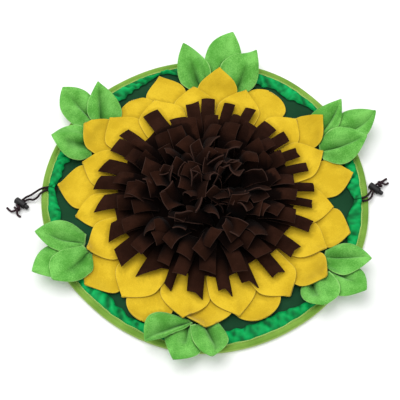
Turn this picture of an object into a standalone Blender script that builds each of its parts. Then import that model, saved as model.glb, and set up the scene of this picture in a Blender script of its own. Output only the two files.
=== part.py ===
"""Snuffle mat in the shape of a sunflower, lying open on a flat surface.

A round base cloth has a bound edge and a ruffled drawstring casing inside it. Two rings of
petals and six clusters of leaves are sewn to it, and a heap of strips fills the middle. On two
sides both ends of a drawcord leave the casing, run through a cord lock and end in a knot.

Metres, +Z up. The origin is on the underside of the base cloth, at its middle. Angles are in
degrees, counted anticlockwise from +X; the cord locks are at -X and +X.
"""

import math
import random

import bmesh
import bpy
import numpy as np
from mathutils import Matrix, Vector

MM = 0.001
GAP = 0.3 * MM  # between pieces that touch

# Base cloth, binding and casing
BASE_THICK = 1.6 * MM
EDGE_STEPS = 60
BINDING_WIDE = 11 * MM
BINDING_THICK = 1.0 * MM
BINDING_ROUND = 2.0 * MM
CASING_THICK = 1.0 * MM
CASING_TUCK = 5 * MM  # from the outline to the casing's raw edges, which lie in the binding
CASING_STEPS = 40  # along each half
CASING_PUFF = 7.4 * MM
MOUTH_HALF = 4.8 * MM  # half the way between the two casing halves, where the cords come out
EXIT_ANGLES = (358.8, 176.3)

# Petals and leaves
FELT_THICK = 2.0 * MM
FELT_AIR = 0.4 * MM
INNER_ROOT = 110 * MM
OUTER_ROOT = 128 * MM
TIP_BLUNT = 1.2 * MM

# Strips
BACKING_RADIUS = 106 * MM
BACKING_RIM = 16 * MM
BACKING_CROWN = 5 * MM
STRIP_THICK = 2.6 * MM
STRIP_LONG = 66 * MM
STRIP_BENDS = 3

# Drawcords and cord locks
CORD_WIDE = 3.2 * MM
LOCK_RADIUS = 5.3 * MM
LOCK_LONG = 18 * MM
BORE_RADIUS = 3.7 * MM
BORE_FLOOR = 1.2 * MM
BUTTON_RADIUS = 3.4 * MM
BUTTON_TRAVEL = 3 * MM
BUTTON_SHOWS = 6.5 * MM
CORD_PLACES = (8.0 * MM, 11.6 * MM)  # of the two strands, from the lock's closed end
SLOT_HIGH = 3.9 * MM

# The outline, and how far the casing's gathered fold lies inside it (mm)
OUTLINE = (
    # angle, radius, casing
    (0, 250.5, 25),
    (15, 252.5, 27),
    (30, 254.0, 25),
    (45, 255.5, 21),
    (60, 259.5, 28),
    (75, 259.5, 29),
    (90, 257.5, 26),
    (105, 257.5, 18),
    (120, 255.8, 25),
    (135, 255.5, 30),
    (150, 253.5, 30),
    (165, 252.5, 27),
    (180, 251.0, 26),
    (195, 247.5, 27),
    (210, 247.0, 29),
    (225, 244.8, 31),
    (240, 247.3, 24),
    (255, 251.0, 27),
    (270, 253.0, 32),
    (285, 251.3, 32),
    (300, 250.0, 31),
    (315, 250.4, 24),
    (330, 250.5, 27),
    (345, 251.0, 28),
)

# Petals in the order in which they lie, the lowest first (mm)
OUTER_LOW = (
    # name, angle, tip, half_wide, tip_kind
    ("petal_outer_01", 108, 238, 33, "point"),
    ("petal_outer_03", 62, 223, 33, "round"),
    ("petal_outer_05", 10, 233, 33, "point"),
    ("petal_outer_08", 292, 217, 34, "round"),
    ("petal_outer_10", 246, 224, 35, "round"),
    ("petal_outer_12", 175, 227, 36, "point"),
    ("petal_outer_06", 344, 227, 32, "point"),
    ("petal_outer_11", 220, 230, 34, "point"),
    ("petal_outer_14", 122, 218, 31, "round"),
)
OUTER_HIGH = (
    ("petal_outer_02", 84, 238, 33, "point"),
    ("petal_outer_04", 37, 237, 33, "point"),
    ("petal_outer_07", 326, 214, 33, "round"),
    ("petal_outer_09", 270, 216, 35, "point"),
    ("petal_outer_13", 145, 231, 33, "point"),
)
INNER = (
    ("petal_inner_15", 136, 202, 34, "point"),
    ("petal_inner_02", 94, 204, 34, "point"),
    ("petal_inner_04", 44, 203, 33, "point"),
    ("petal_inner_07", 334, 202, 34, "point"),
    ("petal_inner_10", 261, 204, 35, "point"),
    ("petal_inner_13", 191, 199, 31, "point"),
    ("petal_inner_05", 23, 201, 34, "point"),
    ("petal_inner_09", 284, 205, 35, "point"),
    ("petal_inner_11", 234, 209, 36, "point"),
    ("petal_inner_01", 112, 195, 35, "point"),
    ("petal_inner_14", 163, 199, 34, "point"),
    ("petal_inner_03", 71, 207, 34, "point"),
    ("petal_inner_06", 355, 197, 34, "point"),
    ("petal_inner_08", 307, 209, 34, "point"),
    ("petal_inner_12", 208, 198, 33, "point"),
)

# Leaves, the lowest of each cluster first: root and tip, height of the tip, widths and fold (mm)
LEAVES = (
    # name, root, root_angle, tip, tip_angle, tip_high, left, right, fold
    ("leaf_top_2", 214, 84.5, 292, 82, 40, 25, 24, 6),
    ("leaf_top_1", 207, 92, 276, 97.5, 34, 25, 24, 7),
    ("leaf_top_3", 208, 77.5, 272, 72, 34, 24, 26, 5),
    ("leaf_upper_right_2", 222, 29.5, 299, 27, 37, 24, 23, 6),
    ("leaf_upper_right_1", 213, 31.5, 270, 37.5, 34, 20, 22, 5),
    ("leaf_upper_right_3", 201, 24.5, 271, 20, 33, 25, 25, 8),
    ("leaf_lower_right_2", 214, 325.5, 286, 324, 32, 22, 24, 6),
    ("leaf_lower_right_1", 205, 331, 271, 335, 33, 24, 24, 8),
    ("leaf_lower_right_3", 205, 319, 259, 311.5, 28, 24, 22, 7),
    ("leaf_bottom_2", 211, 263, 276, 261, 30, 24, 26, 6),
    ("leaf_bottom_1", 207, 264.5, 262, 251, 33, 24, 21, 8),
    ("leaf_bottom_3", 208, 266.5, 268, 272.5, 30, 22, 25, 7),
    ("leaf_lower_left_2", 204, 206.5, 286, 209, 34, 25, 25, 6),
    ("leaf_lower_left_1", 196, 203.5, 264, 196.5, 35, 25, 24, 9),
    ("leaf_lower_left_3", 198, 208.5, 266, 214, 31, 25, 26, 8),
    ("leaf_upper_left_2", 216, 143.5, 287, 141, 38, 24, 24, 5),
    ("leaf_upper_left_3", 209, 149.5, 259, 157.5, 33, 25, 26, 6),
    ("leaf_upper_left_1", 207, 141, 265, 131.5, 35, 23, 26, 5),
)

# The outermost strips, one row each: where the free end lies and how wide it is (mm)
RIM_STRIPS = (
    # angle, tip, wide
    (3, 166, 13),
    (16, 164, 14),
    (26, 161, 17),
    (38, 161, 20),
    (51, 154, 15),
    (64, 163, 17),
    (76, 162, 17),
    (87, 167, 20),
    (97, 161, 19),
    (110, 150, 22),
    (122, 162, 21),
    (136, 162, 19),
    (149, 161, 21),
    (162, 163, 21),
    (174, 165, 21),
    (188, 160, 21),
    (205, 156, 22),
    (221, 167, 22),
    (236, 153, 22),
    (251, 168, 14),
    (265, 169, 21),
    (280, 169, 19),
    (293, 168, 20),
    (308, 174, 18),
    (323, 169, 19),
    (338, 170, 20),
    (351, 165, 13),
)
INNER_ROWS = (
    # radius, strips
    (89, 25),
    (78, 22),
    (67, 19),
    (56, 16),
    (45, 12),
    (34, 9),
    (23, 6),
    (12, 3),
)

# Cord locks: where the closed end lies (mm) and which way the button points
LOCKS = (
    # side, x, y, button
    ("left", -289.1, -3.8, 323.8),
    ("right", 254.5, 22.7, 319.0),
)

# What both strands pass between the casing and the lock (mm): x, y and height of the middle
ROUTES = {
    "cord_left_a": (
        (-229.0, 16.8, 4.6),
        (-234.0, 16.8, 6.6),
        (-240.0, 16.6, 8.8),
        (-246.5, 15.6, 8.9),
        (-253.0, 13.2, 8.6),
        (-259.5, 9.4, 7.0),
        (-267.0, 4.6, 5.5),
        (-274.0, 0.8, 5.3),
    ),
    "cord_left_b": (
        (-229.0, 13.0, 4.6),
        (-234.0, 13.0, 6.6),
        (-240.0, 12.4, 8.8),
        (-246.5, 10.0, 8.9),
        (-252.2, 5.2, 8.7),
        (-256.6, -0.4, 7.2),
        (-262.6, -3.6, 5.6),
        (-269.4, -3.0, 5.3),
    ),
    "cord_right_a": (
        (229.0, -3.1, 4.6),
        (234.0, -3.1, 6.6),
        (240.0, -2.6, 8.8),
        (245.5, -0.6, 8.9),
        (249.6, 2.8, 8.6),
        (253.0, 7.6, 6.6),
    ),
    "cord_right_b": (
        (229.0, -6.9, 4.6),
        (234.0, -6.9, 6.6),
        (240.0, -7.2, 8.8),
        (246.5, -6.8, 8.9),
        (252.2, -3.6, 8.4),
        (255.6, 1.6, 6.4),
        (257.4, 6.8, 5.4),
    ),
}
# Each strand's tail past the knot (mm), the last point on the floor
TAILS = {
    "cord_left_a": ((-285.4, -27.6, 3.4), (-283.2, -29.8, 1.9), (-280.4, -31.4, 1.7)),
    "cord_left_b": ((-291.2, -22.6, 4.6), (-295.0, -22.4, 2.6), (-299.0, -19.2, 1.8), (-302.6, -15.4, 1.7)),
    "cord_right_a": ((278.4, 24.8, 3.4), (281.2, 26.0, 1.9), (284.2, 28.4, 1.7)),
    "cord_right_b": ((273.6, 28.6, 5.0), (276.4, 31.2, 3.0), (279.2, 33.6, 1.9), (282.2, 35.8, 1.7)),
}
KNOT_TURNS = 1.5
KNOT_PITCH = CORD_WIDE + 1.0 * MM
KNOT_RADIUS = CORD_WIDE + 0.7 * MM
KNOT_START = 7.6 * MM  # from the lock's axis to the first turn
KNOT_HIGH = 5.9 * MM

COLOURS = {
    # name: (base colour, roughness)
    "base": ((0.012, 0.055, 0.022), 0.9),
    "binding": ((0.28, 0.44, 0.05), 0.75),
    "casing": ((0.0, 0.34, 0.09), 0.35),
    "petal": ((0.86, 0.52, 0.03), 0.9),
    "leaf": ((0.16, 0.56, 0.09), 0.9),
    "strip": ((0.022, 0.009, 0.008), 0.9),
    "cord": ((0.03, 0.017, 0.02), 0.7),
    "lock": ((0.012, 0.011, 0.013), 0.4),
}


# ---------------------------------------------------------------- helpers


def material(name):
    found = bpy.data.materials.get(name)
    if found:
        return found
    colour, rough = COLOURS[name]
    made = bpy.data.materials.new(name)
    made.use_nodes = True
    shader = made.node_tree.nodes["Principled BSDF"]
    shader.inputs["Base Color"].default_value = (*colour, 1)
    shader.inputs["Roughness"].default_value = rough
    shader.inputs["Metallic"].default_value = 0
    return made


def add_mesh(name, points, faces, look, sharp=40):
    """A named object from points and faces, its normals facing out."""
    mesh = bpy.data.meshes.new(name)
    mesh.from_pydata([tuple(p) for p in points], [], [tuple(f) for f in faces])
    bm = bmesh.new()
    bm.from_mesh(mesh)
    bmesh.ops.recalc_face_normals(bm, faces=bm.faces)
    bm.to_mesh(mesh)
    bm.free()
    mesh.shade_smooth()
    mesh.set_sharp_from_angle(angle=math.radians(sharp))
    mesh.materials.append(material(look))
    made = bpy.data.objects.new(name, mesh)
    bpy.context.scene.collection.objects.link(made)
    return made


def polar(radius, angle, height=0.0):
    turn = math.radians(angle)
    return Vector((radius * math.cos(turn), radius * math.sin(turn), height))


def around(column, angle):
    """A column of OUTLINE at any angle, on a smooth closed curve through its rows."""
    step = 360 / len(OUTLINE)
    place = (angle % 360) / step
    i = int(place)
    t = place - i
    a, b, c, d = (OUTLINE[(i + k) % len(OUTLINE)][column] for k in (-1, 0, 1, 2))
    value = b + 0.5 * t * (c - a + t * (2 * a - 5 * b + 4 * c - d + t * (3 * (b - c) + d - a)))
    return value * MM


def outline(angle):
    return around(1, angle)


def closed_band(rows):
    """Faces between rows of points that each close on themselves; rows[i] holds indices."""
    faces = []
    for near, far in zip(rows, rows[1:]):
        count = len(near)
        for i in range(count):
            j = (i + 1) % count
            faces.append((near[i], near[j], far[j], far[i]))
    return faces


def ring_solid(name, sections, look, closed):
    """A solid swept round the mat: one closed section of points for each station."""
    size = len(sections[0])
    points = [p for section in sections for p in section]
    rows = [[k * size + i for i in range(size)] for k in range(len(sections))]
    if closed:
        faces = closed_band(rows + [rows[0]])
    else:
        faces = closed_band(rows) + [tuple(rows[0]), tuple(rows[-1])]
    return add_mesh(name, points, faces, look)


# ---------------------------------------------------------------- base cloth and edge

EDGE_LIFT = BINDING_THICK + GAP  # the base's edge lies on the binding's lower leg
BASE_EDGE_TOP = EDGE_LIFT + BASE_THICK
CASING_LOW = BASE_EDGE_TOP + GAP
CASING_FLAT_TOP = CASING_LOW + 2 * CASING_THICK + GAP
BINDING_TOP = CASING_FLAT_TOP + GAP + BINDING_THICK


def base_cloth():
    """One flat sheet whose edge rises onto the lower leg of the binding."""
    inside = (
        # in from the outline, height of the underside
        (BINDING_WIDE + 5 * MM, 0.0),
        (BINDING_WIDE + 2 * MM, EDGE_LIFT),
        (BINDING_ROUND + 1.6 * MM, EDGE_LIFT),
    )
    points = [(0, 0, 0), (0, 0, BASE_THICK)]
    rows = []
    loops = [(d, z) for d, z in inside] + [(d, z + BASE_THICK) for d, z in reversed(inside)]
    for inset, high in loops:
        rows.append([len(points) + i for i in range(EDGE_STEPS)])
        for i in range(EDGE_STEPS):
            angle = 360 * i / EDGE_STEPS
            points.append(polar(outline(angle) - inset, angle, high))
    faces = closed_band(rows)
    for centre, row in ((0, rows[0]), (1, rows[-1])):
        faces += [(centre, row[i], row[(i + 1) % EDGE_STEPS]) for i in range(EDGE_STEPS)]
    return add_mesh("base_cloth", points, faces, "base")


def edge_binding():
    """A tape folded round the edge: a lower leg on the floor and an upper leg over the casing."""
    t, turn = BINDING_THICK, BINDING_ROUND
    section = (
        # from the outline, height
        (-BINDING_WIDE, 0),
        (-turn, 0),
        (0, turn),
        (0, BINDING_TOP - turn),
        (-turn, BINDING_TOP),
        (-BINDING_WIDE, BINDING_TOP),
        (-BINDING_WIDE, BINDING_TOP - t),
        (-turn - 0.4 * t, BINDING_TOP - t),
        (-t, BINDING_TOP - turn - 0.4 * t),
        (-t, turn + 0.4 * t),
        (-turn - 0.4 * t, t),
        (-BINDING_WIDE, t),
    )
    angles = [360 * i / EDGE_STEPS for i in range(EDGE_STEPS)]
    sections = [[polar(outline(a) + d, a, z) for d, z in section] for a in angles]
    return ring_solid("edge_binding", sections, "binding", True)


def casing_section(angle, ruffle, puff):
    """A strip folded in half: its raw edges in the binding, its gathered fold inside."""
    rim = outline(angle)
    fold = around(2, angle) + ruffle
    low = CASING_LOW
    t = CASING_THICK
    top = CASING_PUFF + puff
    shoulder = BINDING_WIDE + 2.8 * MM
    section = (
        (CASING_TUCK, low),
        (fold - 0.8 * MM, low),
        (fold, low + 1.2 * MM),
        (fold - 2.6 * MM, top),
        (shoulder, top - 0.5 * MM),
        (BINDING_WIDE + 0.9 * MM, CASING_FLAT_TOP),
        (CASING_TUCK, CASING_FLAT_TOP),
        (CASING_TUCK, CASING_FLAT_TOP - t),
        (BINDING_WIDE + 1.3 * MM, CASING_FLAT_TOP - t),
        (shoulder + 0.6 * MM, top - 0.5 * MM - t),
        (fold - 3.1 * MM, top - t),
        (fold - 1.3 * MM, low + t),
        (CASING_TUCK, low + t),
    )
    return [polar(rim - d, angle, z) for d, z in section]


def casing_half(name, first, last, seed):
    noise = random.Random(seed)
    sections = []
    for i in range(CASING_STEPS + 1):
        angle = first + (last - first) * i / CASING_STEPS
        end = i in (0, CASING_STEPS)
        ruffle = -3 * MM if end else noise.uniform(-1.4, 1.4) * MM
        puff = -1.2 * MM if end else noise.uniform(-0.6, 0.6) * MM
        sections.append(casing_section(angle, ruffle, puff))
    return ring_solid(name, sections, "casing", False)


def casings():
    right, left = EXIT_ANGLES
    mouth = math.degrees(MOUTH_HALF / (236 * MM))
    return [
        casing_half("casing_back", right - 360 + mouth, left - mouth, 3),
        casing_half("casing_front", left + mouth, right - mouth, 4),
    ]


# ---------------------------------------------------------------- what lies on what


class Heap:
    """The height of what lies so far, on a square grid. A new sheet is laid on top of it."""

    CELL = 2 * MM
    HALF = 320 * MM

    def __init__(self):
        count = int(2 * self.HALF / self.CELL)
        self.high = np.full((count, count), BASE_THICK)

    def cells(self, values):
        return ((values + self.HALF) / self.CELL).astype(int)

    def add(self, made, cuts=20):
        """Takes in the heights of an object's faces."""
        made.data.calc_loop_triangles()
        points = np.array([made.matrix_world @ v.co for v in made.data.vertices])
        spots = samples(points, [t.vertices[:] for t in made.data.loop_triangles], cuts)
        x, y, z = spots.reshape(-1, 3).T
        np.maximum.at(self.high, (self.cells(x), self.cells(y)), z)

    def at(self, x, y):
        return self.high[self.cells(x), self.cells(y)]

    def top(self, x, y, reach):
        """The highest point within reach of a place."""
        ends = self.cells(np.array([x - reach, x + reach, y - reach, y + reach]))
        return float(self.high[ends[0]:ends[1] + 1, ends[2]:ends[3] + 1].max())


def weights(cuts):
    """Shares of a triangle's three corners, for points spread evenly over it."""
    steps = range(cuts + 1)
    return np.array([(i, j, cuts - i - j) for i in steps for j in steps if i + j <= cuts]) / cuts


def samples(points, triangles, cuts):
    return np.einsum("nk,tkc->tnc", weights(cuts), points[np.array(triangles)])


def settle(points, triangles, heap):
    """Lifts points until their triangles clear what lies below."""
    triangles = np.array(triangles)
    share = weights(10)
    for last in (False,) * 9 + (True,):
        spots = samples(points, triangles, 10)
        need = heap.at(spots[..., 0], spots[..., 1]) + FELT_AIR - spots[..., 2]
        need = np.maximum(need, 0)
        lift = np.zeros(len(points))
        for k in range(3):
            part = np.ones(len(share)) if last else np.minimum(1, 1.6 * share[:, k])
            np.maximum.at(lift, triangles[:, k], (need * part).max(axis=1))
        points[:, 2] += lift


def felt(name, grid, look, heap):
    """A sheet of felt: grid[i][j] is a place and the height that it would like to have."""
    rows, columns = len(grid), len(grid[0])
    count = rows * columns

    def at(i, j, side=0):
        return i * columns + j + side * count

    halves = []
    for i in range(rows - 1):
        for j in range(columns - 1):
            a, b, c, d = at(i, j), at(i + 1, j), at(i + 1, j + 1), at(i, j + 1)
            halves += [(a, b, c), (a, c, d)] if 2 * j < columns - 1 else [(a, b, d), (b, c, d)]
    under = np.array([tuple(p) for row in grid for p in row])
    settle(under, halves, heap)
    over = under + np.array((0, 0, FELT_THICK))
    faces = halves + [(c + count, b + count, a + count) for a, b, c in halves]
    rim = [(i, 0) for i in range(rows)]
    rim += [(rows - 1, j) for j in range(1, columns)]
    rim += [(i, columns - 1) for i in reversed(range(rows - 1))]
    rim += [(0, j) for j in reversed(range(1, columns - 1))]
    for a, b in zip(rim, rim[1:] + rim[:1]):
        faces.append((at(*b), at(*a), at(*a, 1), at(*b, 1)))
    made = add_mesh(name, [*under, *over], faces, look)
    heap.add(made)
    return made


# ---------------------------------------------------------------- petals and leaves

ACROSS = (-1, -0.5, 0, 0.5, 1)


def petal(row, root, heap):
    name, angle, tip, half_wide, kind = row
    tip, half_wide = tip * MM, half_wide * MM
    long = tip - root
    full = (1.15 if kind == "point" else 0.8) * half_wide
    behind = [0, 0.18 * full, 0.5 * full, full, (full + long) / 2, long]
    grid = []
    for back in behind:
        share = min(1, back / full)
        if kind == "point":
            wide = half_wide * math.sin(math.pi / 2 * share)
        else:
            wide = half_wide * math.sqrt(1 - (1 - share) ** 2)
        if back > full:
            wide *= 1 - 0.35 * ((back - full) / (long - full)) ** 2
        wide = max(wide, TIP_BLUNT)
        turn = Matrix.Rotation(math.radians(angle), 4, "Z")
        places = [turn @ Vector((tip - back, wide * t, 0)) for t in ACROSS]
        grid.append(places)
    return felt(name, grid, "petal", heap)


def leaf(row, heap):
    """A leaf that is pleated at its root, cupped, and rises towards its tip."""
    name, root, root_angle, tip, tip_angle, high, left, right, fold = row
    start = polar(root * MM, root_angle)
    end = polar(tip * MM, tip_angle)
    along = end - start
    side = Vector((-along.y, along.x, 0)).normalized()
    floor = heap.top(start.x, start.y, 4 * MM)
    grid = []
    for s in (0, 0.14, 0.32, 0.54, 0.76, 0.92, 1):
        bulge = math.sin(math.pi * s**0.85) ** 0.75 if 0 < s < 1 else 0
        places = []
        for t in ACROSS:
            wide = (left if t > 0 else right) * MM
            reach = max(wide * bulge, (6 * (1 - s) + 1.2 * s) * MM)
            rise = floor + (high * MM - floor) * s**1.1
            cup = fold * MM * abs(t) ** 1.2 * (1 - 0.75 * s) * min(1, 0.4 + 4 * s)
            p = start + along * s + side * (reach * t)
            places.append(Vector((p.x, p.y, rise + cup)))
        grid.append(places)
    return felt(name, grid, "leaf", heap)


# ---------------------------------------------------------------- strips


class PileMesh:
    """Points and faces of the backing with all the strips that grow out of it."""

    def __init__(self):
        self.points = []
        self.faces = []

    def add(self, *points):
        first = len(self.points)
        self.points.extend(points)
        return list(range(first, first + len(points)))

    def zip(self, inner, outer):
        """Fills the band between two closed rows of (angle, index) with different counts."""
        inner = sorted(inner)
        outer = sorted(outer)
        inner = inner + [(inner[0][0] + 360, inner[0][1])]
        outer = outer + [(outer[0][0] + 360, outer[0][1])]
        i = j = 0
        while i < len(inner) - 1 or j < len(outer) - 1:
            more_in = inner[i + 1][0] if i < len(inner) - 1 else math.inf
            more_out = outer[j + 1][0] if j < len(outer) - 1 else math.inf
            if more_in <= more_out:
                self.faces.append((inner[i][1], outer[j][1], inner[i + 1][1]))
                i += 1
            else:
                self.faces.append((inner[i][1], outer[j][1], outer[j + 1][1]))
                j += 1


def backing_top(radius):
    share = radius / BACKING_RADIUS
    return BACKING_RIM + BACKING_CROWN * (1 - share**2)


def strip_rows(noise):
    """Every row of strips: its radius, and for each strip its angle, width and free end."""
    rim = []
    for angle, tip, wide in RIM_STRIPS:
        back = math.sin(math.radians(angle))
        rim.append((angle, wide * MM, angle, tip * MM, (24 + 7 * back) * MM))
    rows = [(100 * MM, rim)]
    for radius, count in INNER_ROWS:
        ring = []
        phase = noise.uniform(0, 360)
        lean = math.radians(86 * (radius / 100) ** 1.15)
        pitch = 2 * math.pi * radius * MM / count
        for k in range(count):
            angle = (phase + 360 * (k + noise.uniform(-0.06, 0.06)) / count) % 360
            long = STRIP_LONG * noise.uniform(0.92, 1.02)
            tip = radius * MM + long * math.sin(lean) * 0.95
            high = backing_top(radius * MM) + long * math.cos(lean) * 0.95
            swing = noise.uniform(-4, 4)
            ring.append((angle, pitch * noise.uniform(0.74, 0.84), angle + swing, tip, high))
        rows.append((radius * MM, sorted(ring)))
    return rows


def strip_path(radius, strip):
    """Middle points of a strip from its root to its free end, on a curve that leans out."""
    angle, _, tip_angle, tip, high = strip
    root = polar(radius, angle, backing_top(radius))
    end = polar(tip, tip_angle, high)
    lean = math.atan2(tip - radius, high - root.z)
    knee = polar(
        radius + 0.25 * STRIP_LONG * math.sin(lean),
        angle,
        root.z + 0.5 * STRIP_LONG * math.cos(0.62 * lean),
    )
    path = []
    for k in range(1, STRIP_BENDS + 1):
        t = k / STRIP_BENDS
        path.append(root * (1 - t) ** 2 + knee * (2 * t * (1 - t)) + end * t**2)
    return root, path


def grow(pile, corners, radius, strip, twist, heap):
    """One strip, pulled out of its root on the backing."""
    root, path = strip_path(radius, strip)
    outward = polar(1, strip[0])
    across = Vector((-outward.y, outward.x, 0))
    before = root
    loop = corners
    for k, middle in enumerate(path):
        along = (middle - before).normalized()
        turn = Matrix.Rotation(twist * (k + 1) / len(path), 3, along)
        side = turn @ across
        face = side.cross(along).normalized()
        side = along.cross(face).normalized() * (strip[1] / 2)
        depth = face * (STRIP_THICK / 2)
        drop = abs(side.z) + abs(depth.z)
        rest = heap.top(middle.x, middle.y, 14 * MM) + drop + 1.0 * MM
        middle = Vector((middle.x, middle.y, max(middle.z, rest)))
        ring = pile.add(
            middle - side - depth, middle + side - depth, middle + side + depth, middle - side + depth
        )
        pile.faces += closed_band([loop, ring])
        loop = ring
        before = middle
    pile.faces.append(tuple(loop))


def root_half(ring, k, radius):
    """Half the angle that a strip's root takes, so that it stays clear of its neighbours."""
    before, angle, after = (ring[(k + n) % len(ring)][0] for n in (-1, 0, 1))
    room = min((angle - before) % 360, (after - angle) % 360)
    return min(math.degrees(ring[k][1] / 2 / radius), 0.44 * room)


def strip_pile(heap):
    """All the strips, fused at their roots into one lumpy backing."""
    noise = random.Random(11)
    pile = PileMesh()
    outer_row = None
    for radius, ring in strip_rows(noise):
        inside, outside = [], []
        for k, strip in enumerate(ring):
            half = root_half(ring, k, radius)
            near, far = radius - STRIP_THICK / 2, radius + STRIP_THICK / 2
            a, b = strip[0] - half, strip[0] + half
            lump = backing_top(radius) + noise.uniform(-1, 1) * MM
            corners = pile.add(
                polar(near, a, lump), polar(near, b, lump), polar(far, b, lump), polar(far, a, lump)
            )
            inside += [(a, corners[0]), (b, corners[1])]
            outside += [(a, corners[3]), (b, corners[2])]
            grow(pile, corners, radius, strip, math.radians(noise.uniform(-22, 22)), heap)
        for k in range(len(ring)):
            a, b = 2 * k + 1, (2 * k + 2) % (2 * len(ring))
            pile.faces.append((inside[a][1], inside[b][1], outside[b][1], outside[a][1]))
        if outer_row is None:
            rim_row = outside
        else:
            pile.zip(outside, outer_row)
        outer_row = inside
    centre = pile.add(Vector((0, 0, backing_top(0))))[0]
    row = [index for _, index in sorted(outer_row)]
    pile.faces += [(centre, row[i], row[(i + 1) % len(row)]) for i in range(len(row))]
    skirt = [[index for _, index in rim_row]]
    for radius, high in ((BACKING_RADIUS, 13 * MM), (BACKING_RADIUS, 5 * MM), (104 * MM, BASE_THICK + GAP)):
        skirt.append(pile.add(*(polar(radius, angle, high) for angle, _ in rim_row)))
    pile.faces += closed_band(skirt)
    low = pile.add(Vector((0, 0, BASE_THICK + GAP)))[0]
    row = skirt[-1]
    pile.faces += [(low, row[i], row[(i + 1) % len(row)]) for i in range(len(row))]
    return add_mesh("strip_pile", pile.points, pile.faces, "strip")


# ---------------------------------------------------------------- cord locks and drawcords


def turned(name, profile, sides, look):
    """A solid of revolution about Z from (radius, height) rows, the ends on the axis."""
    points = [(0, 0, profile[0][1])]
    rows = []
    for radius, high in profile:
        rows.append([len(points) + i for i in range(sides)])
        points += [polar(radius, 360 * i / sides, high) for i in range(sides)]
    points.append((0, 0, profile[-1][1]))
    faces = closed_band(rows)
    for centre, row in ((0, rows[0]), (len(points) - 1, rows[-1])):
        faces += [(centre, row[i], row[(i + 1) % sides]) for i in range(sides)]
    return add_mesh(name, points, faces, look)


def cutter_box(name, low, high):
    points = [(x, y, z) for x in (low[0], high[0]) for y in (low[1], high[1]) for z in (low[2], high[2])]
    faces = [(0, 1, 3, 2), (4, 6, 7, 5), (0, 4, 5, 1), (2, 3, 7, 6), (0, 2, 6, 4), (1, 5, 7, 3)]
    return hidden(add_mesh(name, points, faces, "lock"))


def hidden(made):
    made.hide_render = True
    made.display_type = "WIRE"
    return made


def cut(made, cutter):
    boolean = made.modifiers.new("cut", "BOOLEAN")
    boolean.operation = "DIFFERENCE"
    boolean.solver = "EXACT"
    boolean.object = cutter
    cutter.parent = made


def lock_frame(row):
    """Where the lock lies: Z along its axis to the button, X against the way of the cords."""
    _, x, y, button = row
    axis = polar(1, button)
    up = Vector((0, 0, 1))
    through = up.cross(axis)
    if through.x * x > 0:
        through = -through
    return Matrix(
        (
            (through.x, axis.cross(through).x, axis.x, x * MM),
            (through.y, axis.cross(through).y, axis.y, y * MM),
            (through.z, axis.cross(through).z, axis.z, LOCK_RADIUS),
            (0, 0, 0, 1),
        )
    )


def cord_lock(row):
    """A barrel with a blind bore and a slot for two strands, and the push button inside it."""
    side = row[0]
    edge = 0.6 * MM
    r, long = LOCK_RADIUS, LOCK_LONG
    barrel = turned(
        f"lock_barrel_{side}",
        ((r - edge, 0), (r, edge), (r, long - edge), (r - edge, long)),
        24,
        "lock",
    )
    bore = turned(f"bore_{side}", ((BORE_RADIUS, BORE_FLOOR), (BORE_RADIUS, long + 2 * MM)), 24, "lock")
    cut(barrel, hidden(bore))
    half = CORD_WIDE / 2 + 0.4 * MM
    low, high = CORD_PLACES[0] - half, CORD_PLACES[1] + half
    box = cutter_box(f"slot_{side}", (-2 * r, -SLOT_HIGH / 2, low), (2 * r, SLOT_HIGH / 2, high))
    cut(barrel, box)

    end = long + BUTTON_SHOWS
    stem = low - 1.5 * MM
    button = turned(
        f"lock_button_{side}",
        (
            (BUTTON_RADIUS, stem),
            (BUTTON_RADIUS, end - 1.4 * MM),
            (BUTTON_RADIUS - 0.5 * MM, end - 0.5 * MM),
            (BUTTON_RADIUS - 1.5 * MM, end),
        ),
        20,
        "lock",
    )
    window = cutter_box(
        f"window_{side}",
        (-2 * r, -SLOT_HIGH / 2 - 0.1 * MM, low),
        (2 * r, SLOT_HIGH / 2 + 0.1 * MM, high + BUTTON_TRAVEL),
    )
    cut(button, window)
    for made in (barrel, button):
        made.matrix_world = lock_frame(row)


def drawcord(side, row):
    """Two strands: one wraps round the other just past the lock, and both end in a tail."""
    frame = lock_frame(row)
    for strand, place in zip("ab", CORD_PLACES):
        name = f"cord_{side}_{strand}"
        line = [Vector(p) * MM for p in ROUTES[name]]
        line += [frame @ Vector((x, 0, place)) for x in (LOCK_RADIUS, 0)]
        line += knot_wrap(frame) if strand == "a" else knot_core(frame)
        line += [Vector(p) * MM for p in TAILS[name]]
        tube(name, line)


def past_lock(frame, out, along, high):
    place = frame @ Vector((-out, 0, along))
    return Vector((place.x, place.y, high))


def knot_core(frame):
    """The strand that runs straight through the knot."""
    ends = (KNOT_START, KNOT_START + KNOT_TURNS * KNOT_PITCH)
    return [past_lock(frame, out, CORD_PLACES[1], KNOT_HIGH) for out in ends]


def knot_wrap(frame):
    """The strand that winds round the other, up and over it first."""
    turns = []
    steps = round(8 * KNOT_TURNS)
    for k in range(steps + 1):
        angle = math.radians(45 * k)
        ease = 1.6 * MM * (max(0, 1 - k / 2) ** 2 - max(0, 1 - (steps - k) / 2) ** 2)
        out = KNOT_START + KNOT_TURNS * KNOT_PITCH * k / steps - ease
        side = CORD_PLACES[1] - KNOT_RADIUS * math.cos(angle)
        turns.append(past_lock(frame, out, side, KNOT_HIGH + KNOT_RADIUS * math.sin(angle)))
    return turns


def tube(name, line):
    curve = bpy.data.curves.new(name, "CURVE")
    curve.dimensions = "3D"
    curve.bevel_depth = CORD_WIDE / 2
    curve.bevel_resolution = 2
    curve.use_fill_caps = True
    spline = curve.splines.new("POLY")
    spline.points.add(len(line) - 1)
    for point, place in zip(spline.points, line):
        point.co = (*place, 1)
    curve.materials.append(material("cord"))
    made = bpy.data.objects.new(name, curve)
    bpy.context.scene.collection.objects.link(made)
    return made


# ---------------------------------------------------------------- the mat


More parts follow.
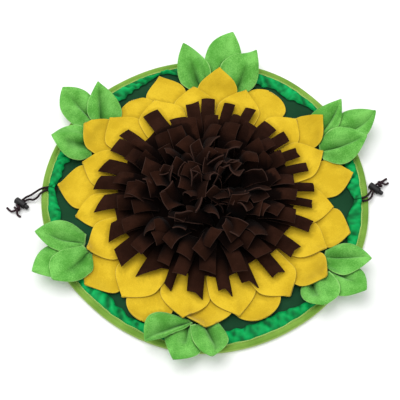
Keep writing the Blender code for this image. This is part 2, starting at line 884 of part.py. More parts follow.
def main():
    for old in list(bpy.data.objects):
        bpy.data.objects.remove(old, do_unlink=True)
    heap = Heap()
    base_cloth()
    for made in (edge_binding(), *casings()):
        heap.add(made)
    for row in OUTER_LOW:
        petal(row, OUTER_ROOT, heap)
    for row in LEAVES:
        leaf(row, heap)
    for row in OUTER_HIGH:
        petal(row, OUTER_ROOT, heap)
    for row in INNER:
        petal(row, INNER_ROOT, heap)
    strip_pile(heap)
    for row in LOCKS:
        cord_lock(row)
        drawcord(row[0], row)


main()
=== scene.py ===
"""Snuffle mat in the shape of a sunflower: its looks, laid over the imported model.

The base cloth, the bound edge and the ruffled casing are lofted round the mat. Petals, leaves
and strips are sheets of felt that are laid one by one on the height of what lies below them.
Metres, +Z up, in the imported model's frame. Angles are in degrees, anticlockwise from +X.
"""

import math
import random

import bpy
import numpy as np
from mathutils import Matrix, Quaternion, Vector


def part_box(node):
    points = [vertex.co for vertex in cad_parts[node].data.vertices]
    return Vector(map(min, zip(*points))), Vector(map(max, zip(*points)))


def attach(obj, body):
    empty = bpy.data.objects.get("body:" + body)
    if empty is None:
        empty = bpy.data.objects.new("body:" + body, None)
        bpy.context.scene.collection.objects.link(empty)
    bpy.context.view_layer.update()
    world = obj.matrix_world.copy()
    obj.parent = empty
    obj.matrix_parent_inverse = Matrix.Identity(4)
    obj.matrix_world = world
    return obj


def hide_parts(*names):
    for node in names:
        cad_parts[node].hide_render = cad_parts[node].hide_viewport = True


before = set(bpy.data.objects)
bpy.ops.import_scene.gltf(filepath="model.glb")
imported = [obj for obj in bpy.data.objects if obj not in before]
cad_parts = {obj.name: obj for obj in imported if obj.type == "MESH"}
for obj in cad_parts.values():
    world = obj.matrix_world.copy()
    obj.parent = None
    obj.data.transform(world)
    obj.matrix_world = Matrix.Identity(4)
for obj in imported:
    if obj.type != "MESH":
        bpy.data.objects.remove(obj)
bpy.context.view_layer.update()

MM = 0.001
BODY = "mat"

# -------- sizes and places

# Camera: distance to the middle of the mat, elevation, lens and sensor, and its offset
CAMERA_FAR = 1.65
CAMERA_HIGH = 60.89
CAMERA_LENS = 96.6
CAMERA_SENSOR = 36.0
CAMERA_ASIDE = -7.4 * MM
CAMERA_UP = -0.9 * MM

# The outline is measured every RIM_STEP degrees; lengths of what goes round are at MEAN_RADIUS
RIM_STEP = 6
MEAN_RADIUS = 240 * MM
RIPPLE_WAVES = 24

# Base cloth: rows of points at these shares of the outline, and how high it ripples and rises
BASE_THICK = 1.6 * MM
BASE_SHARES = (0.02, 0.2, 0.4, 0.6, 0.75, 0.8, 0.84, 0.88, 0.91, 0.935, 0.955, 0.972, 0.986)
BASE_RIPPLE = 0.35 * MM
EDGE_LIFT = 1.3 * MM

# Binding: how much it swells and its width wavers, and its row of stitches
BINDING_WIDE = 11 * MM
BINDING_SWELL = 0.22 * MM
BINDING_WAVER = 0.35 * MM
BINDING_SECTION = (
    # inset (mm), share of the binding's height, height above that (mm); outside, then inside
    (11, 0, 0), (3, 0, 0), (1, 0, 0.6), (0.1, 0, 2.2), (0, 0.5, 0), (0.3, 1, -1.8),
    (1.4, 1, -0.6), (3.2, 1, 0.2), (5.2, 1, 0.5), (7.2, 1, 0.1), (8.2, 1, -0.7), (9, 1, -0.7),
    (9.8, 1, -0.2), (10.5, 1, -0.4), (11, 1, -1),
    (10.8, 1, -1.5), (3.2, 1, -1), (1.6, 1, -1.7), (1.1, 0.5, 0), (1.7, 0, 1.6), (3.2, 0, 1),
    (11, 0, 1),
)
STITCH_PITCH = 3.4 * MM
STITCH_THREAD = 0.32 * MM
STITCH_INSET = 2.0 * MM

# Casing: CASING_ROWS points across, CASING_CUTS sections per degree and waves between two lengths
# (mm). It turns down from FOLD_START of its width on. At the mouths it draws in, with hoods
CASING_LOW = 3.2 * MM
CASING_THICK = 0.7 * MM
CASING_SEAM = 5.3 * MM
CASING_PUFF = 7.6 * MM
CASING_CREASE = 1.1 * MM
CASING_WAVES = ((7, 22), (22, 70), (12, 40))
CASING_ROWS = 14
CASING_CUTS = 2.2
FOLD_START = 0.86
FOLD_DROP = 2.6 * MM
EXIT_ANGLES = (358.8, 176.3)
MOUTH_RADIUS = 236 * MM
MOUTH_HALF = 0.4 * MM
MOUTH_WIDE = 16 * MM
MOUTH_DRAWN = 2.4 * MM
HOOD_WIDE = 5.6 * MM
HOOD_SLOPE = 3.5 * MM
CORD_TOPS = (
    # radius (mm) and the height that clears the cords there
    (222, 3.4), (226, 6.2), (229, 6.6), (234, 8.5), (240, 10.8), (244, 10.9),
)

# How far in the casing's gathered fold lies (mm)
CASING_FOLD = (
    # angle, radius
    (4, 222), (9, 225), (20, 229), (32, 234), (43, 236), (48, 234), (54, 227), (60, 231.5),
    (67, 228.6), (78, 231), (88, 229), (95, 236), (100, 232.5), (104, 239.5), (108, 243.5),
    (111.5, 235.5), (115, 234.5), (119, 230.5), (124, 227), (131, 224.5), (140, 227), (150, 222.5),
    (162, 221.5), (165, 226.5), (170, 225.8), (174, 229), (179, 228), (182, 224.5), (187, 221),
    (195, 221.5), (207, 218), (218, 219), (228, 214.5), (237, 221.5), (243, 225), (248, 222.5),
    (258, 224), (268, 219), (278, 220.3), (289, 219), (297, 217.3), (303, 220.5), (310, 227),
    (320, 224), (333, 227), (345, 224.5), (350, 219.5), (354, 221), (358, 226),
)

# Sheets of felt: how they are laid (air below, reach, how much a lift spreads), and their cut
# edges (band beside it, how far it is drawn in as a share of thickness, its painted highlight)
FELT_THICK = 2.0 * MM
FELT_AIR = 0.15 * MM
LAY_REACH = 4 * MM
LAY_SPREAD = 0.6
EDGE_BAND = 0.05
EDGE_PULL = 0.32
EDGE_HIGHLIGHT = 0.55
TIP_BLUNT = 0.5 * MM

# Petals: roots, how dark the painted shade on their undersides and cut edges is, their forms,
# and the reach of the painted shade that others cast on them
INNER_ROOT = 110 * MM
OUTER_ROOT = 128 * MM
PETAL_ALONG = 26
PETAL_ACROSS = 19
PETAL_SEAM_SHADE = 0.8
PETAL_BUMPS = 3.2 * MM
PETAL_CURL = 1.6 * MM
PETAL_RAISED = 1.8 * MM
SHADE_REACH = 6 * MM

# Petals in the order in which they lie, the lowest first; the leaves lie between these groups
OUTER_LOW = (1, 3, 5, 8, 10, 12, 6, 11, 14)
OUTER_HIGH = (2, 4, 7, 9, 13)
INNER_ALL = (15, 2, 4, 7, 10, 13, 5, 9, 11, 1, 14, 3, 6, 8, 12)
ROUND_TIPS = (3, 8, 10, 14)

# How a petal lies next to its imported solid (mm): how far to its left, how much farther its tip
# reaches, what its left and right halves gain, and how pointed it is (less than 1 is blunter)
PETAL_LIES = {
    "inner": {
        1: (9, -1, 4, 2, 0.85), 2: (4, 0, 2, 0, 0.95), 4: (0, 0, 2, 0, 0.9),
        8: (0, -3, 0, 1, 0.85), 9: (0, -2, 0, 0, 1), 10: (0, 0, 0, 5, 0.95),
        11: (0, -3, 1, 0, 0.9), 12: (0, 0, 1, 4, 0.95), 13: (-6, 0, -3, 0, 1),
        14: (-3, 1, 0, 1, 0.95), 15: (4, 3, 2, 0, 0.8),
    },
    "outer": {
        2: (0, -4, -1, -1, 0.95), 3: (0, 0, 0, 7, 0.85), 4: (0, -3, -5, 0, 0.9),
        6: (0, 0, 4, 1, 0.8), 7: (-16, 11, 0, 0, 0.75), 8: (2, 0, 5, 0, 0.8), 9: (0, 1, 6, 1, 0.8),
        10: (0, 0, 0, 2, 0.9), 11: (0, 0, 6, 0, 0.8), 12: (0, 0, 0, 5, 0.85),
        13: (4, -1, 0, 0, 0.9), 14: (7, -4, 1, 0, 1),
    },
}

# Leaves: their lobes beside the pleat, their drooping sides and their bumps
LEAF_ALONG = 32
LEAF_ACROSS = 35
LEAF_LOBES = 5.5 * MM
LEAF_DROOP = 5.0 * MM
LEAF_BUMPS = 2.5 * MM
LEAF_SEED = 300

# The leaves (mm) by cluster, the lowest first: number, place of the root and of the tip (radius
# and angle) and height of the tip. Then the left and the right half: its width, how far out it is
# widest, how blunt it ends and its share of width at the root. Then the pleat: how deep it is,
# where it runs at the root and at its end (-1 to 1 across), its share of the length and the side
# on which it slopes gently (1 left, -1 right)
LEAVES = {
    "top": (
        (2, (214, 84.5), (294, 81), 40,
         (33, 0.5, 3, 0.5), (28, 0.44, 2.2, 0.5), (7, 0, 0, 0.45, -1)),
        (1, (207, 92), (274.3, 97.3), 34,
         (27, 0.28, 2.2, 0.7), (27, 0.35, 2.3, 0.7), (14, -0.05, -0.1, 0.55, 1)),
        (3, (208, 77.5), (271.7, 71.9), 34,
         (36, 0.33, 1.7, 0.8), (28, 0.36, 1.8, 0.8), (11, -0.2, 0.05, 0.55, -1)),
    ),
    "upper_right": (
        (2, (222, 29.5), (301.4, 27.2), 37,
         (28, 0.48, 2.1, 0.5), (30, 0.5, 2.4, 0.5), (11, -0.2, -0.35, 0.9, 1)),
        (1, (213, 31.5), (269.8, 36.9), 34,
         (31, 0.36, 1.8, 0.5), (19, 0.36, 1.9, 0.5), (13, -0.1, -0.2, 0.85, 1)),
        (3, (199, 24.2), (268.8, 20.7), 33,
         (32, 0.45, 2.4, 0.5), (31, 0.42, 2.2, 0.5), (15, 0, 0, 0.9, 1)),
    ),
    "lower_right": (
        (2, (214, 325.5), (284.8, 324.3), 32,
         (29, 0.5, 2.4, 0.5), (27, 0.52, 2, 0.5), (13, 0.1, 0.1, 0.62, 1)),
        (1, (204, 330), (269, 334.2), 33,
         (27, 0.42, 1.9, 0.4), (30, 0.42, 1.7, 0.5), (15, 0, 0.2, 0.85, 1)),
        (3, (209, 318.6), (254.3, 312.3), 28,
         (32, 0.42, 3.4, 0.8), (24, 0.45, 2.6, 0.6), (14, 0, -0.1, 0.62, -1)),
    ),
    "bottom": (
        (2, (213, 263.2), (275, 260.7), 30,
         (31, 0.5, 2.2, 0.5), (26, 0.4, 1.4, 0.15), (13, 0.15, 0.2, 0.5, -1)),
        (1, (208.5, 264.8), (259.2, 251), 33,
         (4, 0.2, 2, 0.5), (38, 0.55, 2.4, 0.15), (11, -0.1, -0.2, 1, -1)),
        (3, (210, 267.8), (266.9, 272.1), 30,
         (32, 0.5, 2.8, 0.8), (18, 0.42, 1.6, 0.8), (15, 0.2, 0.35, 0.85, 1)),
    ),
    "lower_left": (
        (2, (206, 206.5), (285.7, 208.9), 34,
         (27, 0.46, 2, 0.5), (32, 0.46, 2, 0.5), (5, 0, 0, 0.3, -1)),
        (1, (196, 203.8), (261.2, 196.5), 35,
         (22, 0.42, 2, 0.6), (32, 0.46, 2.2, 0.5), (15, 0.1, 0.05, 0.66, -1)),
        (3, (196.5, 208.2), (266.4, 214.2), 31,
         (27, 0.32, 3.2, 0.25), (29, 0.55, 2.2, 0.35), (15, 0.1, 0.1, 0.6, 1)),
    ),
    "upper_left": (
        (2, (216, 143.5), (289.1, 141.1), 38,
         (27, 0.54, 2.7, 0.5), (29, 0.54, 2.7, 0.5), (11, -0.2, 0, 0.7, -1)),
        (3, (206, 150.5), (256.3, 158), 33,
         (36, 0.4, 2.6, 0.75), (28, 0.42, 1.9, 0.7), (12, 0.05, 0.1, 0.62, 1)),
        (1, (208, 141.3), (259.1, 131.1), 35,
         (22, 0.34, 2, 0.6), (33, 0.33, 1.9, 0.75), (13, 0.15, 0, 0.8, -1)),
    ),
}

# Strips: the most that one is lifted, and how deep below others their painted shade is darkest;
# then the backing that they are sewn to, whose middle is BACKING_CROWN higher
STRIP_THICK = 2.0 * MM
STRIP_ALONG = 16
STRIP_ACROSS = 9
STRIP_LIFT = 9 * MM
STRIP_SEED = 23
STRIP_SHADE_DEPTH = 15 * MM
ROW_TURN = 47
BACKING_RADIUS = 105 * MM
BACKING_HIGH = 14 * MM
BACKING_CROWN = 4 * MM
BACKING_LUMPS = 1.5 * MM
BACKING_RINGS = (102, 88, 74, 60, 46, 32, 18, 4)

# Strips that fill the gaps of the rim row from below: root and its height (mm), leans at the root
# and the tip; between which radii (mm) they end, and their width (mm)
FILL_ROW = (99, 11, 74, 100)
FILL_TIP = (132, 140)
FILL_WIDE = 23

# Rows of strips that lie outwards, the rim row first: root and its height (mm), leans at the root
# and the tip, how unevenly the strips lie, then the strips: angle, tip and width (mm), how far it
# curls round its length (radians at its edges) and the slant of its cut end
LAID_ROWS = (
    (98, 12, 72, 108, 0, (
        (4.7, 168, 16, 0.7, 0), (17.7, 168, 17, 0.8, 0.1), (27.6, 165, 18, 0.3, 0.1),
        (39.4, 167, 20, 0.2, 0.3), (50.5, 164, 26, 0.2, 0.1), (64.8, 174, 17, 0.2, -0.2),
        (76.4, 172, 18, 0.2, 0), (88.1, 177, 22, 0.3, 0), (96.8, 168, 22, -0.3, -0.3),
        (107.4, 143, 27, 0.2, 0.1), (120.1, 173, 27, 0.2, -0.05), (138.7, 170, 18, 0.1, 0.2),
        (147.5, 167, 27, 0.1, 0), (161.3, 166, 25, 0.3, 0.45), (172.3, 168, 25, 0.5, 0.35),
        (185.2, 162, 27, 0.4, 0.75), (204.3, 157, 27, 0.4, 0.6), (219.7, 168, 29, 0.2, 0.3),
        (237.5, 155, 28, 0.3, -1.1), (250.4, 164, 16, 1.2, 0.5), (264.8, 168, 26, 0.8, 0.45),
        (280.3, 169, 23, 1.2, 0.55), (293.7, 167, 24, 1.1, 0.7), (309, 173, 23, 0.8, 0.2),
        (324.4, 167, 25, 0.5, 0.1), (341, 169, 21, 0.3, 0.1), (354.7, 165, 15, 0.9, 0),
    )),
    (86, 16, 52, 104, 15, (
        (357, 139, 21, 0.3, 0.1), (11, 137, 22, 0.2, -0.1), (26, 135, 24, 0.2, 0.2),
        (43, 137, 22, 0.3, 0.1), (57.2, 139, 20, 0.2, 0), (69.6, 144, 14, 0.6, 0),
        (83.2, 136, 22, 0.2, 0.1), (101, 133, 24, 0.3, 0.2), (120.1, 129, 24, 0.9, 0),
        (139.5, 142, 16, 0.8, 0.2), (153, 134, 25, 0.1, 0), (170, 137, 23, 0.3, 0.3),
        (190, 134, 24, 0.5, 0), (207, 137, 22, 0.6, 0.2), (224.2, 144, 24, 0.1, 0.1),
        (240, 138, 22, 0.8, 0.2), (256.7, 147, 22, 0.7, -0.2), (273, 137, 25, 0.6, 0.3),
        (291.4, 147, 22, 0.3, 0.2), (306.6, 140, 26, 0.2, 0.3), (322, 139, 24, 0.3, 0),
        (338.3, 143, 22, 0.2, -0.1),
    )),
    (75, 18, 40, 98, 32, (
        (5, 116, 24, 0.3, 0.1), (25, 112, 25, 0.6, 0), (46, 118, 24, 0.4, 0.2),
        (67.4, 122, 27, 0.2, 0), (88, 114, 24, 0.5, -0.1), (109, 112, 24, 0.8, 0.1),
        (130, 118, 25, 0.4, 0.1), (152, 112, 26, 0.3, 0), (175, 116, 24, 0.7, 0.2),
        (195, 113, 25, 0.6, 0.1), (214.5, 119, 26, 0.6, 0), (233, 118, 24, 0.9, 0.1),
        (253, 120, 25, 0.7, 0.2), (276.5, 119, 27, 0.2, 0), (297, 118, 25, 0.3, 0.1),
        (318, 117, 26, 0.3, 0.1), (343, 121, 25, 0.3, 0),
    )),
)

# How deep the ends of some rim strips are notched, in half widths, by the strips' angles
NOTCHES = {
    17.7: 0.25, 27.6: 0.35, 264.8: 0.3, 280.3: 0.65, 293.7: 0.6, 309: 0.3, 324.4: 0.3, 341: 0.15,
    354.7: 0.3,
}

# Rows of strips that stand up in the middle: radius, how many and their length (mm), leans at the
# root and the tip, and how far each may swing, roll, twist (degrees), curl (radians) and wave
INNER_ROWS = (
    (66, 16, 56, 25, 92, 60, 45, 55, 0.9, 70),
    (57, 15, 58, 17, 88, 90, 70, 80, 1.1, 100),
    (47, 13, 60, 12, 86, 130, 90, 110, 1.3, 130),
    (37, 11, 61, 10, 88, 140, 90, 120, 1.5, 140),
    (26, 9, 62, 8, 82, 180, 90, 130, 1.7, 150),
    (15, 6, 62, 5, 76, 180, 90, 130, 1.7, 150),
    (5, 4, 61, 2, 66, 180, 90, 130, 1.7, 150),
)

# Drawcords: their braid, then (mm) x, y and height of the middle from the casing's mouth to the
# lock, and of the tails behind the knot
CORD_WIDE = 3.2 * MM
CORD_SIDES = 12
CORD_STEP = 0.5 * MM
BRAID_DEEP = 0.12 * MM
BRAID_RATE = 1.9 / MM
LOCK_MIDDLES = {
    # where the two strands cross the axis of the cord lock, and which way they go
    "left": (-281.1, -9.6, 233.8),
    "right": (261.9, 16.3, 49.0),
}
STRAND_APART = 3.6 * MM
ROUTES = {
    "cord_left_a": (
        (-229, 16.8, 4.6), (-234, 16.8, 6.6), (-240, 16.6, 8.8), (-246.5, 15.6, 8.9),
        (-253, 13.2, 8.6), (-259.5, 9.4, 7), (-267, 4.6, 5.5), (-274, 0.8, 5.3),
    ),
    "cord_left_b": (
        (-229, 13, 4.6), (-234, 13, 6.6), (-240, 12.4, 8.8), (-246.5, 10, 8.9), (-252.2, 5.2, 8.7),
        (-256.6, -0.4, 7.2), (-262.6, -3.6, 5.6), (-269.4, -3, 5.3),
    ),
    "cord_right_a": (
        (229, -3.1, 4.6), (234, -3.1, 6.6), (240, -2.6, 8.8), (245.5, -0.6, 8.9),
        (249.6, 2.8, 8.6), (253, 7.6, 6.6),
    ),
    "cord_right_b": (
        (229, -6.9, 4.6), (234, -6.9, 6.6), (240, -7.2, 8.8), (246.5, -6.8, 8.9),
        (252.2, -3.6, 8.4), (255.6, 1.6, 6.4), (257.4, 6.8, 5.4),
    ),
}
TAILS = {
    "cord_left_a": ((-285.4, -27.6, 3.4), (-283.2, -29.8, 1.9), (-280.4, -31.4, 1.7)),
    "cord_left_b": (
        (-291.2, -22.6, 4.6), (-295, -22.4, 2.6), (-299, -19.2, 1.8), (-302.6, -15.4, 1.7),
    ),
    "cord_right_a": ((278.4, 24.8, 3.4), (281.2, 26, 1.9), (284.2, 28.4, 1.7)),
    "cord_right_b": ((273.6, 28.6, 5), (276.4, 31.2, 3), (279.2, 33.6, 1.9), (282.2, 35.8, 1.7)),
}

# The knot, one strand wound round the other, and the cord locks
KNOT_TURNS = 1.5
KNOT_STEPS = 16
KNOT_PITCH = CORD_WIDE + 1.0 * MM
KNOT_RADIUS = CORD_WIDE + 0.7 * MM
KNOT_START = 7.6 * MM
KNOT_HIGH = 5.9 * MM
KNOT_EASE = 1.6 * MM
LOCK_HIGH = 5.3 * MM
LOCK_NEAR = -5.3 * MM
LOCK_PAST = 5.6 * MM

# Lights: place, size and power
LIGHTS = {"key": ((-0.75, 0.75, 2.2), 2.6, 50), "fill": ((1.3, -1.0, 1.6), 1.8, 10)}
WORLD_STRENGTH = 0.65
FLOOR_HALF = 4

# Looks of felt: dark and light tone, painted highlight of the cut edge and painted shade of the
# folds (linear colours), sheen and grain
FELTS = {
    "petal_felt": (
        (0.62, 0.41, 0.017), (0.73, 0.50, 0.026), (0.80, 0.60, 0.06), (0.30, 0.19, 0.006),
        0.2, 0.8,
    ),
    "leaf_felt": (
        (0.090, 0.345, 0.044), (0.21, 0.58, 0.115), (0.34, 0.66, 0.19), (0.008, 0.055, 0.006),
        0.2, 1.0,
    ),
    "strip_felt": (
        (0.018, 0.0060, 0.0030), (0.028, 0.0096, 0.0052), (0.048, 0.024, 0.018),
        (0.0015, 0.0006, 0.0005), 0.02, 0.6,
    ),
}
# Looks of woven cloth: dark and light tone, cut edge (a painted highlight on the binding), pitch
# of the threads, roughness, depth of the weave, and other values of the shader
WOVENS = {
    "base_cloth": (
        (0.009, 0.046, 0.019), (0.015, 0.066, 0.029), (0.02, 0.09, 0.04),
        0.9 * MM, 0.9, 0.3 * MM, {"Specular_IOR_Level": 0.05},
    ),
    "binding": (
        (0.115, 0.25, 0.024), (0.25, 0.44, 0.068), (0.50, 0.66, 0.19),
        0.8 * MM, 0.8, 0.25 * MM, {"Sheen_Weight": 0.1, "Specular_IOR_Level": 0.1},
    ),
    "cord": (
        (0.012, 0.006, 0.008), (0.035, 0.018, 0.022), (0.06, 0.03, 0.04),
        0.7 * MM, 0.8, 0.2 * MM, {"Specular_IOR_Level": 0.15},
    ),
}
# A wave texture has this many bands per metre at a scale of one
WAVE_BANDS = 3.2


# -------- materials


class Look:
    """A Principled material under construction, with short calls for the nodes it takes."""

    def __init__(self, name, rough, **sockets):
        self.material = bpy.data.materials.new(name)
        self.material.use_nodes = True
        self.nodes = self.material.node_tree.nodes
        self.links = self.material.node_tree.links
        self.shader = self.nodes["Principled BSDF"]
        self.shader.inputs["Roughness"].default_value = rough
        for socket, value in sockets.items():
            self.shader.inputs[socket.replace("_", " ")].default_value = value
        self.place = self.nodes.new("ShaderNodeTexCoord").outputs["Object"]

    def node(self, kind, values, output, **settings):
        """An output of a new node, whose inputs are numbers, colours or other outputs."""
        made = self.nodes.new(kind)
        for key, value in settings.items():
            setattr(made, key, value)
        for key, value in values.items():
            if isinstance(value, bpy.types.NodeSocket):
                self.links.new(value, made.inputs[key])
            else:
                value = (*value, 1) if isinstance(value, tuple) else value
                made.inputs[key].default_value = value
        return made.outputs[output]

    def noise(self, scale, detail, rough=0.5):
        values = {"Vector": self.place, "Scale": scale, "Detail": detail, "Roughness": rough}
        return self.node("ShaderNodeTexNoise", values, "Fac")

    def mark(self, name):
        """A value that the mesh carries at its points."""
        return self.node("ShaderNodeAttribute", {}, "Fac", attribute_name=name)

    def blend(self, factor, low, high):
        """A colour between low and high; either may be a socket."""
        return self.node("ShaderNodeMix", {0: factor, 6: low, 7: high}, 2, data_type="RGBA")

    def spread(self, value, low, high):
        """Stretches low..high of a value to 0..1."""
        values = {"Value": value, "From Min": low, "From Max": high}
        return self.node("ShaderNodeMapRange", values, "Result")

    def sum(self, a, b, weight):
        """a plus b times a weight."""
        return self.node("ShaderNodeMath", {0: b, 1: weight, 2: a}, 0, operation="MULTIPLY_ADD")

    def bump(self, height, far, strength):
        values = {"Height": height, "Distance": far, "Strength": strength}
        normal = self.node("ShaderNodeBump", values, "Normal")
        self.links.new(normal, self.shader.inputs["Normal"])

    def colour(self, socket):
        self.links.new(socket, self.shader.inputs["Base Color"])


def felt_look(name, low, high, rim, deep, sheen, grain):
    """Fleece felt: short fibres that catch the light, a painted highlight on the cut edge, painted
    shade in folds.
    """
    look = Look(name, 0.92, Sheen_Weight=sheen, Sheen_Roughness=0.45, Specular_IOR_Level=0.04)
    broad = look.noise(38, 3)
    fibre = look.noise(620, 3, 0.65)
    pile = look.noise(380, 4, 0.7)
    tone = look.spread(look.sum(broad, fibre, grain), 0.5 + 0.34 * grain, 0.5 + 0.70 * grain)
    # rim mixes in a painted highlight on cut edges; fold mixes in painted shade in folds, seams
    # and under other pieces
    edge, fold = look.mark("rim"), look.mark("fold")
    plain = look.blend(fold, look.blend(tone, low, high), deep)
    look.colour(look.blend(edge, plain, rim))
    look.bump(look.sum(pile, fibre, 0.6), 0.9 * MM, 0.6)
    return look.material


def woven_look(name, low, high, rim, pitch, rough, far, sockets):
    """Plain weave with threads a pitch apart, across and along the cloth."""
    look = Look(name, rough, **sockets)
    bands = []
    for way in ("X", "Y"):
        scale = 1 / pitch / WAVE_BANDS
        values = {"Vector": look.place, "Scale": scale, "Distortion": 0.6, "Detail": 1.0}
        bands.append(look.node("ShaderNodeTexWave", values, "Fac", bands_direction=way))
    weave = look.node("ShaderNodeMath", dict(enumerate(bands)), 0, operation="MULTIPLY")
    broad = look.noise(30, 3)
    tone = look.spread(look.sum(broad, weave, 0.4), 0.35, 0.95)
    # rim mixes in the edge colour: a painted highlight along the binding's edges, and a lighter
    # colour on its stitches and the knots
    look.colour(look.blend(look.mark("rim"), look.blend(tone, low, high), rim))
    look.bump(look.sum(weave, look.noise(500, 2), 0.3), far, 0.5)
    return look.material


def satin_look():
    """Thin satin: smooth threads with a soft shine, fine creases, an uneven green and painted
    shade in its wrinkles.
    """
    look = Look("casing", 0.45, Specular_IOR_Level=0.08)
    broad = look.noise(48, 3, 0.55)
    crease = look.noise(70, 3, 0.6)
    thread = look.noise(1500, 1)
    tone = look.spread(look.sum(broad, crease, 0.5), 0.55, 0.95)
    # fold mixes in painted shade: in wrinkle valleys, along the seam and the fold, and under the
    # casing
    fold = look.mark("fold")
    plain = look.blend(tone, (0.0, 0.25, 0.052), (0.004, 0.43, 0.105))
    look.colour(look.blend(fold, plain, (0.0, 0.085, 0.020)))
    look.bump(look.sum(crease, thread, 0.08), 3.0 * MM, 0.6)
    return look.material


def plastic_look():
    look = Look("lock_plastic", 0.42, Specular_IOR_Level=0.3)
    tone = look.spread(look.noise(220, 2), 0.3, 0.7)
    look.colour(look.blend(tone, (0.005, 0.0045, 0.0055), (0.010, 0.009, 0.0105)))
    look.bump(look.noise(2400, 2), 0.1 * MM, 0.3)
    return look.material


def floor_look():
    look = Look("floor", 0.8, Specular_IOR_Level=0.1)
    look.colour(look.blend(look.noise(3, 2), (0.93, 0.93, 0.93), (0.95, 0.95, 0.95)))
    return look.material


LOOKS = {name: felt_look(name, *values) for name, values in FELTS.items()}
LOOKS |= {name: woven_look(name, *values) for name, values in WOVENS.items()}
LOOKS |= {"casing": satin_look(), "lock_plastic": plastic_look()}


# -------- mesh helpers


def polar(radius, angle):
    """x, y for numbers or arrays, with the angle in degrees."""
    turn = np.radians(angle)
    return radius * np.cos(turn), radius * np.sin(turn)


def put(name, data):
    """A new object in the scene."""
    made = bpy.data.objects.new(name, data)
    bpy.context.scene.collection.objects.link(made)
    return made


def make(name, points, faces, look, rim=None, replaces=(), fold=None):
    """A piece from points and faces, on the mat's body and in its material slot.

    rim and fold are values at its points: rim for a painted highlight on cut edges, fold for
    painted shade in folds and creases and where other pieces lie close above.
    """
    mesh = bpy.data.meshes.new(name)
    mesh.from_pydata([tuple(p) for p in points], [], [tuple(f) for f in faces])
    mesh.validate()
    mesh.shade_smooth()
    mesh.materials.append(LOOKS[look])
    for mark, values in (("rim", rim), ("fold", fold)):
        if values is not None:
            data = mesh.attributes.new(mark, "FLOAT", "POINT").data
            data.foreach_set("value", np.asarray(values, float))
    made = put(name, mesh)
    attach(made, BODY)
    if replaces:
        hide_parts(*replaces)
    return made


def loop_faces(count, size, closed):
    """Quads between count sections of size points each; closed joins the last to the first."""
    faces = []
    for k in range(count if closed else count - 1):
        near, far = k * size, (k + 1) % count * size
        for i in range(size):
            j = (i + 1) % size
            faces.append((near + i, near + j, far + j, far + i))
    return faces


class Parts:
    """Points, faces and rim values of several closed shapes that become one piece."""

    def __init__(self):
        self.points = []
        self.faces = []
        self.rim = []

    def add(self, points, faces, rim):
        first = len(self.points)
        self.points += [tuple(p) for p in points]
        self.faces += [tuple(first + i for i in face) for face in faces]
        self.rim += list(rim)


def around(radius, angle, high):
    """Points at radii, angles and heights, for numbers or arrays."""
    return np.stack(np.broadcast_arrays(*polar(radius, angle), high), axis=-1)


def unit(vectors):
    return vectors / np.maximum(np.linalg.norm(vectors, axis=-1, keepdims=True), 1e-9)


def grid_normals(grid):
    along = np.gradient(grid, axis=0)
    across = np.gradient(grid, axis=1)
    normal = unit(np.cross(along, across))
    if normal[len(grid) // 2, grid.shape[1] // 2, 2] < 0:
        normal = -normal
    return normal


def border(rows, columns):
    """The places of a grid's outer points, in order."""
    way = [(i, 0) for i in range(rows)]
    way += [(rows - 1, j) for j in range(1, columns)]
    way += [(i, columns - 1) for i in reversed(range(rows - 1))]
    way += [(0, j) for j in reversed(range(1, columns - 1))]
    return way


def spread_across(count):
    """Places from -1 to 1, the outermost close to the next, so that a cut edge stays thin."""
    return np.concatenate([[-1], np.linspace(EDGE_BAND - 1, 1 - EDGE_BAND, count - 2), [1]])


def inward(edge, inside, pull):
    """The way from the points of an edge towards those inside it, at most pull long."""
    step = inside - edge
    far = np.maximum(np.linalg.norm(step, axis=-1, keepdims=True), 1e-9)
    return step * np.minimum(0.6, pull / far)


def sheet_parts(grid, thick, normal=None):
    """Points, faces and rim values of a closed sheet round a grid, with a rounded cut edge.

    The points are the upper side, the lower side and the edge, in this order.
    """
    rows, columns, _ = grid.shape
    if normal is None:
        normal = grid_normals(grid)
    body = grid.copy()
    pull = EDGE_PULL * thick
    body[0] += inward(grid[0], grid[1], pull)
    body[-1] += inward(grid[-1], grid[-2], pull)
    body[:, 0] += inward(grid[:, 0], grid[:, 1], pull)
    body[:, -1] += inward(grid[:, -1], grid[:, -2], pull)
    over, under = body + normal * (thick / 2), body - normal * (thick / 2)
    count = rows * columns
    way = border(rows, columns)
    edge = [grid[i, j] for i, j in way]
    points = [*over.reshape(-1, 3), *under.reshape(-1, 3), *edge]
    faces = []
    for i in range(rows - 1):
        for j in range(columns - 1):
            a, b = i * columns + j, (i + 1) * columns + j
            quad = [a, b, b + 1, a + 1]
            faces.append(quad)
            faces.append([count + k for k in reversed(quad)])
    for k, (i, j) in enumerate(way):
        n = (k + 1) % len(way)
        a, b = i * columns + j, way[n][0] * columns + way[n][1]
        c, d = 2 * count + k, 2 * count + n
        faces += [(b, a, c, d), (d, c, count + a, count + b)]
    # the cut edge and the band beside it carry a painted highlight (rim values)
    rim = np.zeros((rows, columns))
    for i, j in way:
        rim[i, j] = EDGE_HIGHLIGHT
    return points, faces, [*rim.reshape(-1), *rim.reshape(-1), *[1.0] * len(way)]


def flat_size(grid):
    """Width, length and area of a sheet, measured along its surface."""
    along, across = np.diff(grid, axis=0), np.diff(grid, axis=1)
    halves = ((along[:, :-1], across[:-1]), (along[:, 1:], across[1:]))
    first, second = (np.linalg.norm(np.cross(a, b), axis=2) for a, b in halves)
    width = np.linalg.norm(across, axis=2).sum(axis=1).max()
    length = np.linalg.norm(along, axis=2).sum(axis=0).max()
    return float(width), float(length), float((first + second).sum() / 2)


def curve(a, b, c, d, t):
    """The point at a share t of the way from b to c, on a smooth curve through all four."""
    return b + 0.5 * t * (c - a + t * (2 * a - 5 * b + 4 * c - d + t * (3 * (b - c) + d - a)))


def way_along(line):
    """How far along a line each of its points is."""
    return np.concatenate([[0], np.cumsum(np.linalg.norm(np.diff(line, axis=0), axis=1))])


